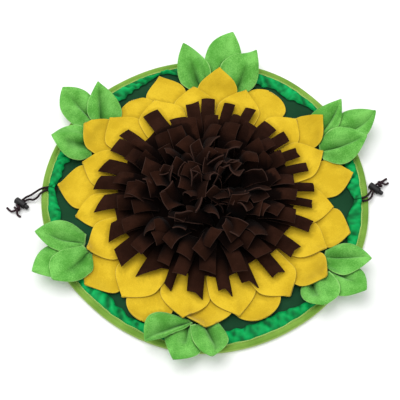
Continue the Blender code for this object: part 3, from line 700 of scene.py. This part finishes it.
def smooth_line(points, step):
    """Points a step apart on one smooth curve through the given ones."""
    points = [Vector(p) for p in points]
    ends = [2 * points[0] - points[1], *points, 2 * points[-1] - points[-2]]
    fine = []
    for four in zip(ends, ends[1:], ends[2:], ends[3:]):
        fine += [curve(*four, k / 16) for k in range(16)]
    fine = np.array([*fine, points[-1]])
    far = way_along(fine)
    want = np.linspace(0, far[-1], max(3, round(far[-1] / step) + 1))
    return np.stack([np.interp(want, far, fine[:, k]) for k in range(3)], axis=1)


# -------- what lies on what


class Heap:
    """The height of what lies so far, on a square grid."""

    CELL = 2 * MM
    HALF = 330 * MM

    def __init__(self, high):
        count = int(2 * self.HALF / self.CELL)
        self.high = np.full((count, count), high)

    def cells(self, values):
        """The rows or columns of the grid that places are in."""
        return ((values + self.HALF) / self.CELL).astype(int)

    def add(self, grid, cuts=4):
        """Takes in a surface given as a grid of points, each of its cells cut into cuts parts."""
        for i in range(cuts + 1):
            for j in range(cuts + 1):
                s, t = i / cuts, j / cuts
                near = grid[:-1] * (1 - s) + grid[1:] * s
                p = near[:, :-1] * (1 - t) + near[:, 1:] * t
                np.maximum.at(self.high, (self.cells(p[..., 0]), self.cells(p[..., 1])), p[..., 2])

    def near(self, x, y, reach):
        """The highest point within reach of each place."""
        found = np.zeros_like(x)
        far = math.ceil(reach / self.CELL)
        steps = range(-far, far + 1)
        for i in steps:
            for j in steps:
                if math.hypot(i, j) * self.CELL <= reach * 1.01:
                    cells = self.cells(x + i * self.CELL), self.cells(y + j * self.CELL)
                    found = np.maximum(found, self.high[cells])
        return found


def mean_around(field):
    """The mean of each point's four neighbours."""
    wide = np.pad(field, 1, mode="edge")
    return (wide[:-2, 1:-1] + wide[2:, 1:-1] + wide[1:-1, :-2] + wide[1:-1, 2:]) / 4


def settle(low, passes):
    """A lift that is nowhere below low, and falls off around it in soft slopes."""
    lift = low.copy()
    for _ in range(passes):
        lift = np.maximum(low, (1 - LAY_SPREAD) * lift + LAY_SPREAD * mean_around(lift))
    return lift


def lay(grid, heap, passes):
    """Lifts a sheet of felt off what lies below it and adds it to the heap."""
    low = heap.near(grid[..., 0], grid[..., 1], LAY_REACH) + FELT_AIR + FELT_THICK / 2
    grid[..., 2] += settle(np.maximum(low - grid[..., 2], 0), passes)
    heap.add(grid + np.array((0, 0, FELT_THICK / 2)))


# -------- base cloth and edge


def mesh_points(node):
    """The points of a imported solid."""
    return np.array([v.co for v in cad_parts[node].data.vertices])


def rim_table():
    """The outline of the mat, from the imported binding: the farthest point at each angle."""
    points = mesh_points("edge_binding")
    radius = np.hypot(points[:, 0], points[:, 1])
    angle = np.degrees(np.arctan2(points[:, 1], points[:, 0])) % 360
    count = 360 // RIM_STEP
    keys = np.round(angle / RIM_STEP).astype(int) % count
    return np.array([radius[keys == k].max() for k in range(count)])


RIM = rim_table()
BINDING_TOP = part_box("edge_binding")[1][2]


def cyclic(angle, angles, values):
    """A smooth closed curve through values at angles."""
    angles, values = np.asarray(angles, float), np.asarray(values, float)
    count = len(angles)
    angle = (np.asarray(angle, float) - angles[0]) % 360 + angles[0]
    i = np.searchsorted(angles, angle, side="right") - 1
    ends = np.append(angles, angles[0] + 360)
    t = (angle - ends[i]) / (ends[i + 1] - ends[i])
    return curve(*(values[(i + k) % count] for k in (-1, 0, 1, 2)), t)


def outline(angle):
    """The radius of the mat at an angle."""
    return cyclic(angle, np.arange(len(RIM)) * RIM_STEP, RIM)


def casing_fold(angle):
    """The radius of the casing's gathered fold at an angle."""
    angles, radii = zip(*CASING_FOLD)
    return cyclic(angle, angles, radii) * MM


class Ripple:
    """A seeded sum of waves round the mat, with wavelengths between two lengths (mm)."""

    def __init__(self, seed, short, long):
        noise = random.Random(seed)
        turn = 2 * math.pi * MEAN_RADIUS
        low, high = (math.log(turn / (far * MM)) for far in (long, short))
        self.waves = []
        for _ in range(RIPPLE_WAVES):
            count = round(math.exp(noise.uniform(low, high)))
            self.waves.append((count, noise.uniform(0, 2 * math.pi), noise.gauss(0, 1)))
        self.size = math.sqrt(sum(w[2] ** 2 for w in self.waves) / 2)

    def at(self, angle):
        turn = np.radians(angle)
        waves = (size * np.sin(count * turn + phase) for count, phase, size in self.waves)
        return sum(waves) / self.size


def base_cloth():
    """A round sheet with faint ripples; its edge lies on the binding's lower leg."""
    angles = np.arange(240) * 1.5
    rim = outline(angles)
    share = np.array(BASE_SHARES)[:, None]
    first, second = (Ripple(seed, 28, 120).at(angles) for seed in (21, 22))
    mix = np.sin(share * 9)
    wave = mix * first + (1 - mix) * second
    inside = rim * share - (rim - BINDING_WIDE - 5 * MM)
    rise = np.clip(inside / (3 * MM), 0, 1) * EDGE_LIFT
    fade = np.minimum(1, 4 * (0.955 - share)) * (share < 0.95)
    grid = around(rim * share, angles, rise + BASE_RIPPLE * np.clip(wave, 0, 2) * fade)
    top = grid + np.array((0, 0, BASE_THICK))
    rows, size = grid.shape[:2]
    points = [*grid.reshape(-1, 3), *top[::-1].reshape(-1, 3)]
    faces = loop_faces(2 * rows, size, True)
    made = make("base_sheet", points, faces, "base_cloth", [0] * len(points), ("base_cloth",))
    return top


def edge_binding():
    """The tape round the edge, a little uneven, with a row of stitches near its inner edge.

    Returns its top as a grid, for the heap.
    """
    angles = np.arange(480) * 0.75
    rim = outline(angles)
    swell, width = (Ripple(*w).at(angles)[:, None] for w in ((31, 10, 60), (32, 12, 70)))
    inset, part, up = np.array(BINDING_SECTION).T
    share, high = inset * MM / BINDING_WIDE, BINDING_TOP * part + up * MM
    upper = high > 5 * MM
    wide = inset * MM + BINDING_WAVER * width * share * (high > 3 * MM)
    puff = BINDING_SWELL * swell * np.sin(math.pi * np.minimum(1, share)) * upper
    points = around(rim[:, None] - wide, angles[:, None], high + puff).reshape(-1, 3)
    # painted highlights along the binding's inner edge on top and, weaker, round its outer edge
    painted_edge_highlight = np.tile(np.where((share > 0.95) & upper, 1, 0.45 * (share < 0.05)), len(angles))
    faces = loop_faces(len(angles), len(share), True)
    made = make("binding_tape", points, faces, "binding", painted_edge_highlight, ("edge_binding",))
    stitches = stitch_row()
    angles = np.arange(361.0)
    return np.stack([around(outline(angles) - d, angles, BINDING_TOP) for d in (BINDING_WIDE, 0)])


def stitch_row():
    """A row of short stitches on the binding, near its inner edge."""
    parts = Parts()
    count = round(2 * math.pi * MEAN_RADIUS / STITCH_PITCH)
    half = 360 / count * 0.36
    sunk = np.array((0.7, 0.15, 0.15, 0.7)) * MM
    for k in range(count):
        angles = 360 * k / count + half * np.array((-1, -0.5, 0.5, 1))
        line = around(outline(angles) - BINDING_WIDE + STITCH_INSET, angles, BINDING_TOP - sunk)
        points, faces = tube_parts(line, STITCH_THREAD, 5)
        parts.add(points, faces, [0.7] * len(points))
    return make("binding_stitches", parts.points, parts.faces, "binding", parts.rim)


def casing_half(name, first, last, seed, node):
    """A strip of satin folded in half: sewn in at the binding, gathered and puffed inside it.

    Its ends are hoods that lie over the drawcords at the mouths. Returns its upper side.
    """
    middle = np.linspace(first + 2.6, last - 2.6, int((last - first) * CASING_CUTS))
    ends = np.linspace(first, first + 2.4, 9), np.linspace(last - 2.4, last, 9)
    angles = np.concatenate([ends[0], middle, ends[1]])[:, None]
    fine, broad, skew = (Ripple(seed + k, *waves) for k, waves in enumerate(CASING_WAVES))
    rim = outline(angles)
    far = np.radians(np.minimum(angles - first, last - angles)) * MOUTH_RADIUS
    mouth = np.clip(far / MOUTH_WIDE, 0, 1)
    hood = np.clip((HOOD_WIDE - far) / HOOD_SLOPE + 1, 0, 1)
    hood = hood * hood * (3 - 2 * hood)
    inset = (rim - casing_fold(angles)) + 0.8 * MM * skew.at(angles) * mouth
    inset -= MOUTH_DRAWN * (1 - mouth)
    start = BINDING_WIDE - 4 * MM + 4.4 * MM * np.minimum(1, 2.5 * hood)
    # the upper side, from the seam in to the fold
    s = np.linspace(0, 1, CASING_ROWS)
    depth = start + (inset - start) * s
    puff = np.sin(math.pi * np.minimum(1, s * 1.02)) ** 0.6
    lean = 0.3 * fine.at(angles + 1.5 * s)
    lean += 1.1 * s * (1.3 * np.abs(broad.at(angles - 3 * s)) - 0.9)
    lean += 0.7 * np.sin(2.6 * s) * skew.at(angles + 5 * s)
    high = CASING_SEAM + (CASING_PUFF - CASING_SEAM) * puff
    high = high + CASING_CREASE * lean * puff * mouth
    high = np.where(depth < BINDING_WIDE + 0.4 * MM, np.minimum(high, 5.0 * MM), high)
    high -= np.maximum(0, s - FOLD_START) / (1 - FOLD_START) * FOLD_DROP
    high = np.maximum(high, CASING_LOW + 1.2 * MM)
    # painted shade in the valleys of the wrinkles and along the seam and the fold
    edge = 0.5 * np.exp(-s / 0.1) + 0.4 * np.exp((s - 1) / 0.08)
    deep = np.minimum(1, np.maximum(0, 0.25 - 0.4 * lean) + edge)
    # round the fold, back under it, and inside; up is by how much each point clears the cords
    inner = CASING_LOW + CASING_THICK
    under = np.maximum(high[:, -2::-1] - CASING_THICK, inner + 0.1 * MM)
    under[:, 0] = CASING_LOW + 1.1 * MM
    turned = [inset + 0.1 * MM, inset - 0.6 * MM, start, start, inset - 1.6 * MM, inset - 0.9 * MM]
    depth = np.concatenate([depth, *turned, depth[:, -3::-1]], axis=1)
    low = [CASING_LOW + 0.9 * MM, CASING_LOW + 0.1 * MM, CASING_LOW, inner, inner]
    low = np.broadcast_to(low, (len(angles), len(low)))
    high = np.concatenate([high, low, under], axis=1)
    up = np.repeat((2.4, 1.2, 0, 0.6, 1.6), (CASING_ROWS, 1, 2, 2, CASING_ROWS - 1))
    clear = (np.interp((rim - depth) / MM, *zip(*CORD_TOPS)) + up) * MM
    high = high + np.maximum(0, clear - high) * hood**2
    grid = around(rim - depth, angles, high)
    rows, size = high.shape
    # the turned fold, the underside and the inside carry painted shade too
    marks = np.concatenate([deep, np.full((rows, size - CASING_ROWS), 0.6)], axis=1).ravel()
    faces = loop_faces(rows, size, False)
    faces += [tuple(range(size)), tuple((rows - 1) * size + i for i in reversed(range(size)))]
    points = grid.reshape(-1, 3)
    made = make(name, points, faces, "casing", None, (node,), fold=marks)
    return grid[:, :CASING_ROWS]


# -------- petals and leaves


def soft_bumps(noise, shape, size):
    """A smooth field of seeded bumps from 0 to size."""
    field = noise.uniform(0, 1, (5, 4))
    rows = np.linspace(0, 4, shape[0])
    columns = np.linspace(0, 3, shape[1])
    wide = np.stack([np.interp(rows, range(5), field[:, k]) for k in range(4)], axis=1)
    fine = np.stack([np.interp(columns, range(4), row) for row in wide])
    for _ in range(6):
        fine = mean_around(fine)
    return fine * size


def petal(row, number, root, heap):
    """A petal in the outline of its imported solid, laid on what is below it."""
    node = f"petal_{row}_{number:02d}"
    points = mesh_points(node)
    radius = np.hypot(points[:, 0], points[:, 1])
    end = points[radius > radius.max() - 0.6 * MM].mean(axis=0)
    tip, angle = math.hypot(end[0], end[1]), math.atan2(end[1], end[0])
    way = np.array([math.cos(angle), math.sin(angle)])
    side = np.array([-math.sin(angle), math.cos(angle)])
    half_wide = float(np.abs(points[:, :2] @ side).max())
    shift, out, *more, point = PETAL_LIES[row].get(number, (0, 0, 0, 0, 1))
    tip += out * MM
    blunt = row == "outer" and number in ROUND_TIPS
    full = (0.8 if blunt else 1.15 * point) * half_wide
    long = tip - root
    noise = np.random.default_rng(100 * (row == "inner") + number)
    back = long * (1 - np.sin(np.linspace(0, math.pi / 2, PETAL_ALONG)))
    share = np.minimum(1, back / full)
    round_tip, pointed_tip = np.sqrt(1 - (1 - share) ** 2), np.sin(math.pi / 2 * share)
    wide = half_wide * (round_tip if blunt else pointed_tip)
    wide *= 1 - 0.35 * (np.maximum(0, back - full) / (long - full)) ** 2
    wide = np.maximum(wide, TIP_BLUNT)
    across = spread_across(PETAL_ACROSS)
    phase = 3 * back[:, None] / full + noise.uniform(0, 6) + across * 2
    uneven = 1 + 0.025 * np.sin(phase) + np.where(across > 0, *more) * MM / half_wide
    aside = wide[:, None] * across * uneven + shift * MM
    grid = np.zeros((PETAL_ALONG, PETAL_ACROSS, 3))
    grid[..., :2] = way * (tip - back)[:, None, None] + side * aside[..., None]
    curl = PETAL_CURL * np.abs(across) ** 3 * noise.uniform(0.2, 1.0)
    raised = (np.maximum(0, 1 - back / (0.6 * full)) ** 2)[:, None]
    raised = PETAL_RAISED * raised * noise.uniform(0, 1)
    grid[..., 2] = heap.near(grid[..., 0], grid[..., 1], 0).min() + FELT_THICK / 2
    grid[..., 2] += soft_bumps(noise, grid.shape[:2], PETAL_BUMPS) + curl + raised
    lay(grid, heap, passes=30)
    points, faces, rim = sheet_parts(grid, FELT_THICK)
    top = PETAL_ALONG * PETAL_ACROSS
    # the cut edge gets no highlight; the underside and cut edge carry painted shade, so seams
    # where petals overlap look dark
    rim[2 * top :] = [0.0] * (len(points) - 2 * top)
    fold = [0.0] * top + [PETAL_SEAM_SHADE] * (len(points) - top)
    made = make(f"{node}_felt", points, faces, "petal_felt", rim, (node,), fold=fold)
    width, length, area = flat_size(grid)
    return made, grid


def shade_petals(petals, heap):
    """Paints shade on each petal where others, leaves or strips lie close above it, and darkens
    the outer petals a little all over.
    """
    for made, grid in petals:
        marks = made.data.attributes["fold"].data
        fold = np.zeros(len(marks))
        marks.foreach_get("value", fold)
        close = heap.near(grid[..., 0], grid[..., 1], SHADE_REACH) - grid[..., 2] - FELT_THICK / 2
        shade = 0.35 * np.clip((close - 0.3 * MM) / (5 * MM), 0, 1)
        shade += 0.08 * ("outer" in made.name)
        fold[: shade.size] = shade.reshape(-1)
        marks.foreach_set("value", fold)


def half_width(s, wide, peak, blunt, stub):
    """Half a leaf's width at a share of its length."""
    near = stub + (1 - stub) * np.sin(math.pi / 2 * np.minimum(1, s / peak)) ** 1.1
    return wide * MM * near * (1 - np.clip((s - peak) / (1 - peak), 0, 1) ** blunt)


def leaf(node, row, heap, seed):
    """A leaf pleated at its root: a deep crease with a lobe on each side, rising to the tip."""
    root, tip, high, left, right, (deep, at, to, long, soft) = row
    start, end = (np.array(polar(radius * MM, angle)) for radius, angle in (root, tip))
    along = end - start
    side = unit(np.array([-along[1], along[0]]))
    noise = np.random.default_rng(seed)
    floor = heap.near(start[:1], start[1:], LAY_REACH)[0] + FELT_THICK
    s = np.sin(np.linspace(0, math.pi / 2, LEAF_ALONG))[:, None]
    t = spread_across(LEAF_ACROSS)[None, :]
    line = at + (to - at) * np.minimum(1, s / long)
    t = t - (t - line) * 0.35 * np.exp(-(((t - line) / 0.3) ** 2)) * (1 - np.abs(t))
    reach = np.maximum(np.where(t > 0, half_width(s, *left), half_width(s, *right)), TIP_BLUNT)
    grid = np.zeros((*t.shape, 3))
    grid[..., :2] = start + along * s[..., None] + side * (reach * t)[..., None]
    rise = floor + (high * MM - floor) * s**1.1
    fade = np.clip(1 - s / long, 0, 1) ** 0.6
    off = (t - line) * soft
    wide = np.where(off > 0, 0.34, 0.07 + 0.1 * s)
    fold = np.exp(-((np.abs(off) / wide) ** 1.5)) * fade
    lobes = np.exp(-(((off + 0.3) / 0.28) ** 2)) + 0.6 * np.exp(-(((off - 0.62) / 0.25) ** 2))
    lobes = lobes * (1 - s) ** 0.7 * np.minimum(1, 4 * s + 0.5)
    droop = np.abs(t) ** 3 * np.sin(math.pi * s) ** 0.5
    grid[..., 2] = rise - deep * MM * fold + LEAF_LOBES * lobes - LEAF_DROOP * droop
    grid[..., 2] += soft_bumps(noise, grid.shape[:2], LEAF_BUMPS)
    lay(grid, heap, passes=12)
    points, faces, rim = sheet_parts(grid, FELT_THICK)
    # painted shade along the pleat, wide on its gently sloping side, fading towards the tip, and
    # darker towards the root
    shade = np.where(off > 0, 0.30, 0.07)
    painted_shade = np.exp(-((np.abs(off) / shade) ** 1.1)) * np.clip(1.25 - s / long, 0, 1) ** 0.8
    painted_shade = np.maximum(painted_shade, 0.3 * (1 - s) ** 2).reshape(-1)
    marks = [*painted_shade, *painted_shade, *[0.0] * (len(points) - 2 * painted_shade.size)]
    made = make(f"{node}_felt", points, faces, "leaf_felt", rim, (node,), fold=marks)
    width, length, area = flat_size(grid)


def leaves(heap):
    """All leaves, cluster by cluster."""
    rows = [(f"leaf_{cluster}_{row[0]}", row[1:]) for cluster in LEAVES for row in LEAVES[cluster]]
    for k, (node, row) in enumerate(rows):
        leaf(node, row, heap, LEAF_SEED + k)


# -------- strips


def ribbon(root, azimuth, leans, roll, twist, curl, wave, wide, long, slant, notch=0):
    """Middle points and normals of a strip that bends over its face and twists on its way.

    It goes off at an azimuth and leans from upright by leans[0] at its root and about leans[1] at
    its end; roll is how far it is turned at its root, and twist from there on. wave is how much
    its bend wavers, and shifts where it does. These are in degrees. curl is how far it bends
    round its own length, in radians at its edges. slant and notch are in half widths.
    """
    turn, first, last = (math.radians(x) for x in (azimuth, *leans))
    flat = math.sin(first)
    tangent = Vector((flat * math.cos(turn), flat * math.sin(turn), math.cos(first)))
    side = Vector((-math.sin(turn), math.cos(turn), 0))
    side.rotate(Quaternion(tangent, math.radians(roll)))
    across = spread_across(STRIP_ACROSS)
    shares = np.append(np.linspace(0, 1 - EDGE_BAND / 3, STRIP_ALONG - 1), 1)
    half = wide / 2
    place = np.array(root, float)
    grid = np.zeros((STRIP_ALONG, STRIP_ACROSS, 3))
    normals = np.zeros_like(grid)
    for k, (s, step) in enumerate(zip(shares, np.append(np.diff(shares), 0))):
        face = np.array(tangent.cross(side))
        way, flank = np.array(tangent), np.array(side)
        arc = curl * min(1, 0.3 + 1.2 * s)
        arc = arc if abs(arc) > 0.02 else 0.02
        sine, cosine = np.sin(arc * across), np.cos(arc * across)
        grid[k] = place + np.outer(half * sine / arc, flank)
        grid[k] -= np.outer(half * (1 - cosine) / arc, face)
        cut = slant * across - notch * (1 - np.abs(across))
        grid[k] += np.outer(half * cut * max(0, 2 * s - 1), way)
        normals[k] = np.outer(cosine, face) + np.outer(sine, flank)
        bend = (last - first) * (0.5 + s) + 3 * math.radians(wave) * math.sin(8 * s + wave)
        tangent.rotate(Quaternion(side, bend * step))
        side.rotate(Quaternion(tangent, math.radians(twist) * step))
        place = place + np.array(tangent) * (long * step)
    return grid, normals


def backing_top(radius):
    """The height of the backing at a radius."""
    return BACKING_HIGH + BACKING_CROWN * (1 - (radius / BACKING_RADIUS) ** 2)


def strips(heap):
    """Every strip, from the outermost row in, over a lumpy backing."""
    noise = random.Random(STRIP_SEED)
    parts = Parts()
    backing(parts)
    rim_row = LAID_ROWS[0][-1]
    rim_angles = [strip[0] for strip in rim_row]
    radius, high, *leans = FILL_ROW
    for angle, after in zip(rim_angles, [*rim_angles[1:], rim_angles[0] + 360]):
        start = (radius, high, (angle + after) / 2)
        curl, slant = noise.uniform(-0.4, 0.4), noise.uniform(-0.3, 0.3)
        lay_strip(parts, heap, start, noise.uniform(*FILL_TIP), leans, curl, FILL_WIDE, slant)
    for radius, high, *leans, loose, row in LAID_ROWS:
        for angle, tip, wide, curl, slant in row:
            uneven = [loose * noise.uniform(-1, 1) for _ in range(3)]
            notch = NOTCHES.get(angle, 0) if row is rim_row else 0
            start = (radius, high, angle)
            lay_strip(parts, heap, start, tip, leans, curl, wide, slant, uneven, notch)
    for number, (radius, count, long, first, last, swing, *sizes) in enumerate(INNER_ROWS):
        for k in range(count):
            angle = 360 * (k + noise.uniform(-0.3, 0.3)) / count + ROW_TURN * number
            r = (radius + noise.uniform(-3, 3)) * MM
            grid, normals = ribbon(
                (*polar(r, angle), backing_top(r) - 2 * MM),
                angle + swing * noise.uniform(-1, 1),
                (first + noise.uniform(-6, 6), last + noise.uniform(-0.3, 0.25) * (last - first)),
                *[size * noise.uniform(-1, 1) for size in sizes],
                noise.uniform(20, 30) * MM,
                long * noise.uniform(0.84, 1.06) * MM,
                noise.uniform(-0.35, 0.35),
            )
            add_strip(parts, heap, grid, normals)
    # painted shade deep in the pile, on strips and backing alike, full in the middle and weaker
    # towards the rim
    x, y, z = np.array(parts.points).T
    deep = (heap.near(x, y, STRIP_SHADE_DEPTH) - z) / STRIP_SHADE_DEPTH
    inner = np.clip((150 * MM - np.hypot(x, y)) / (30 * MM), 0.35, 1)
    fold = 0.9 * np.clip(deep - 0.3, 0, 1) * inner
    replaced = ("strip_pile",)
    make("strips", parts.points, parts.faces, "strip_felt", parts.rim, replaced, fold=fold)


def lay_strip(parts, heap, start, tip, leans, curl, wide, slant, uneven=(0, 0, 0), notch=0):
    """A strip that lies out over what is below it and ends at a radius.

    uneven is how far it swings to the side, rolls at its root and twists, in degrees.
    """
    radius, high, angle = start
    swing, roll, twist = uneven
    x, y = polar(radius * MM, angle)
    root, way = (x, y, high * MM), angle + 0.5 * swing
    long = reach = (tip - radius) * MM
    for _ in range(2):
        shape = (leans, roll, 1.5 * twist, curl, 0, wide * MM, long, slant, notch)
        grid, normals = ribbon(root, way, *shape)
        middle = grid[-1, STRIP_ACROSS // 2, :2]
        long *= reach / (float(np.hypot(*(middle - (x, y)))) + 0.5 * notch * wide * MM)
    add_strip(parts, heap, grid, normals)


def add_strip(parts, heap, grid, normals):
    """Lifts the lying part of a strip off what is below it, keeps its curl, and adds it."""
    rows = len(grid)
    steep = np.abs(unit(np.gradient(grid, axis=0))[..., 2])
    lying = np.clip(1.3 - 1.6 * steep, 0, 1) * np.linspace(0, 2.5, rows).clip(0, 1)[:, None]
    low = heap.near(grid[..., 0], grid[..., 1], 2 * MM) + STRIP_THICK / 2 + 0.3 * MM
    low = np.clip(low - grid[..., 2], 0, STRIP_LIFT) * lying
    low = (0.6 * low.max(axis=1) + 0.4 * low.mean(axis=1))[:, None]
    grid[..., 2] += settle(low, 14)
    heap.add(grid[rows // 3 :] + np.array((0, 0, STRIP_THICK / 2)))
    parts.add(*sheet_parts(grid, STRIP_THICK, normals))


def backing(parts):
    """The cloth that the strips are sewn to, pushed up between their rows."""
    angles = np.arange(0, 360, 5)
    rings = np.array(BACKING_RINGS) * MM
    radii = np.array([BACKING_RADIUS, BACKING_RADIUS + 1 * MM, *rings])
    high = np.array([2.2 * MM, 9 * MM, *backing_top(rings)])
    ring = np.arange(len(radii))
    lumps = BACKING_LUMPS * np.sin(5 * np.radians(angles)[:, None] + ring) * (ring > 1)
    points = around(radii, angles[:, None], high + lumps).reshape(-1, 3)
    count, size = len(angles), len(radii)
    faces = []
    for k in range(count):
        near, far = k * size, (k + 1) % count * size
        faces += [(near + i, far + i, far + i + 1, near + i + 1) for i in range(size - 1)]
    faces += [tuple(k * size + size - 1 for k in range(count))]
    faces += [tuple(k * size for k in reversed(range(count)))]
    parts.add(points, faces, [0] * len(points))


# -------- drawcords, knots and locks


def tube_parts(line, radius, sides, weave=0.0):
    """A closed tube round a line, its surface braided if weave is the depth of the braid."""
    way = unit(np.gradient(line, axis=0))
    up = np.array((0.0, 0.0, 1.0))
    if abs(way[0] @ up) > 0.9:
        up = np.array((1.0, 0.0, 0.0))
    across = unit(np.cross(way[0], up))
    points = []
    for place, ahead, far in zip(line, way, way_along(line) * BRAID_RATE):
        across = unit(across - ahead * (across @ ahead))
        other = np.cross(ahead, across)
        for i in range(sides):
            turn = 2 * math.pi * i / sides
            size = radius + weave * (math.sin(3 * turn + far) * math.sin(3 * turn - far))
            aside = across * (size * math.cos(turn)) + other * (size * math.sin(turn))
            points.append(place + aside)
    faces = loop_faces(len(line), sides, False)
    end = (len(line) - 1) * sides
    faces += [tuple(reversed(range(sides))), tuple(end + i for i in range(sides))]
    return points, faces


def lock_place(side, out, along, high):
    """A point past the lock: out along the cords' way, and along the lock's own axis."""
    x, y, way = LOCK_MIDDLES[side]
    turn = math.radians(way)
    button = turn + math.radians(90 if side == "left" else -90)
    return (
        x * MM + out * math.cos(turn) + along * math.cos(button),
        y * MM + out * math.sin(turn) + along * math.sin(button),
        high,
    )


def knot_wrap(side):
    """The strand that is wound round the other, easing in and out of its turns."""
    turns = []
    steps = round(KNOT_STEPS * KNOT_TURNS)
    for k in range(steps + 1):
        angle = math.radians(360 / KNOT_STEPS * k)
        ease = KNOT_EASE * (max(0, 1 - k / 4) ** 2 - max(0, 1 - (steps - k) / 4) ** 2)
        out = KNOT_START + KNOT_TURNS * KNOT_PITCH * k / steps - ease
        along = STRAND_APART / 2 - KNOT_RADIUS * math.cos(angle)
        turns.append(lock_place(side, out, along, KNOT_HIGH + KNOT_RADIUS * math.sin(angle)))
    return turns


def cord_parts(line):
    """The braided surface of a cord along a line."""
    return tube_parts(line, CORD_WIDE / 2, CORD_SIDES, BRAID_DEEP)


def drawcord(side):
    """Both strands of one side, and the knot with its two tails."""
    knot = Parts()
    ends = (KNOT_START, KNOT_START + KNOT_TURNS * KNOT_PITCH)
    core = [lock_place(side, out, STRAND_APART / 2, KNOT_HIGH) for out in ends]
    strands = []
    for strand, turns, along in (("a", knot_wrap(side), -1), ("b", core, 1)):
        node = f"cord_{side}_{strand}"
        along = STRAND_APART / 2 * along
        route, tail = ([tuple(x * MM for x in p) for p in way[node]] for way in (ROUTES, TAILS))
        route += [lock_place(side, out, along, LOCK_HIGH) for out in (LOCK_NEAR, 0)]
        route.append(lock_place(side, LOCK_PAST, along, LOCK_HIGH + 0.2 * MM))
        points, faces = cord_parts(smooth_line([route[-1], *turns, *tail], CORD_STEP))
        knot.add(points, faces, [0.3] * len(points))
        strands.append((node, smooth_line(route, CORD_STEP)))
    nodes = [node for node, _ in strands]
    tied = make(f"knot_{side}", knot.points, knot.faces, "cord", knot.rim, nodes)
    for node, line in strands:
        points, faces = cord_parts(line)
        made = make(f"{node}_braid", points, faces, "cord", [0] * len(points), (node,))
        length = float(np.linalg.norm(np.diff(line, axis=0), axis=1).sum())


# -------- camera, light and floor


def camera():
    high = math.radians(CAMERA_HIGH)
    data = bpy.data.cameras.new("camera")
    data.lens = CAMERA_LENS
    data.sensor_width = CAMERA_SENSOR
    data.clip_end = 20
    made = put("camera", data)
    made.location = (
        CAMERA_ASIDE,
        -CAMERA_FAR * math.cos(high) + CAMERA_UP * math.sin(high),
        CAMERA_FAR * math.sin(high) + CAMERA_UP * math.cos(high),
    )
    made.rotation_euler = (math.pi / 2 - high, 0, 0)
    bpy.context.scene.camera = made


def area_light(name, place, size, power):
    """A square light that points at the middle of the mat."""
    data = bpy.data.lights.new(name, "AREA")
    data.energy = power
    data.size = size
    made = put(name, data)
    made.location = place
    made.rotation_euler = (-Vector(place)).to_track_quat("-Z", "Y").to_euler()


def studio():
    for name, light in LIGHTS.items():
        area_light(name, *light)
    world = bpy.data.worlds.new("studio")
    world.use_nodes = True
    background = world.node_tree.nodes["Background"].inputs
    background["Color"].default_value = (1, 1, 1, 1)
    background["Strength"].default_value = WORLD_STRENGTH
    bpy.context.scene.world = world
    bpy.context.scene.view_settings.view_transform = "Standard"
    mesh = bpy.data.meshes.new("floor")
    far = FLOOR_HALF
    corners = [(-far, -far, 0), (far, -far, 0), (far, far, 0), (-far, far, 0)]
    mesh.from_pydata(corners, [], [(0, 1, 2, 3)])
    mesh.materials.append(floor_look())
    made = put("floor", mesh)


# -------- the mat


def main():
    camera()
    for side in ("left", "right"):
        drawcord(side)
    heap = Heap(BASE_THICK)
    heap.add(base_cloth())
    heap.add(edge_binding(), 8)
    right, left = EXIT_ANGLES
    mouth = math.degrees(MOUTH_HALF / MOUTH_RADIUS)
    ends = {"back": (right - 360 + mouth, left - mouth), "front": (left + mouth, right - mouth)}
    for seed, (side, (first, last)) in zip((41, 51), ends.items()):
        heap.add(casing_half(f"casing_{side}_satin", first, last, seed, f"casing_{side}"))
    petals = [petal("outer", number, OUTER_ROOT, heap) for number in OUTER_LOW]
    leaves(heap)
    petals += [petal("outer", number, OUTER_ROOT, heap) for number in OUTER_HIGH]
    petals += [petal("inner", number, INNER_ROOT, heap) for number in INNER_ALL]
    strips(heap)
    shade_petals(petals, heap)
    for part in ("barrel", "button"):
        for side in ("left", "right"):
            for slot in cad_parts[f"lock_{part}_{side}"].material_slots:
                slot.material = LOOKS["lock_plastic"]
    studio()


main()
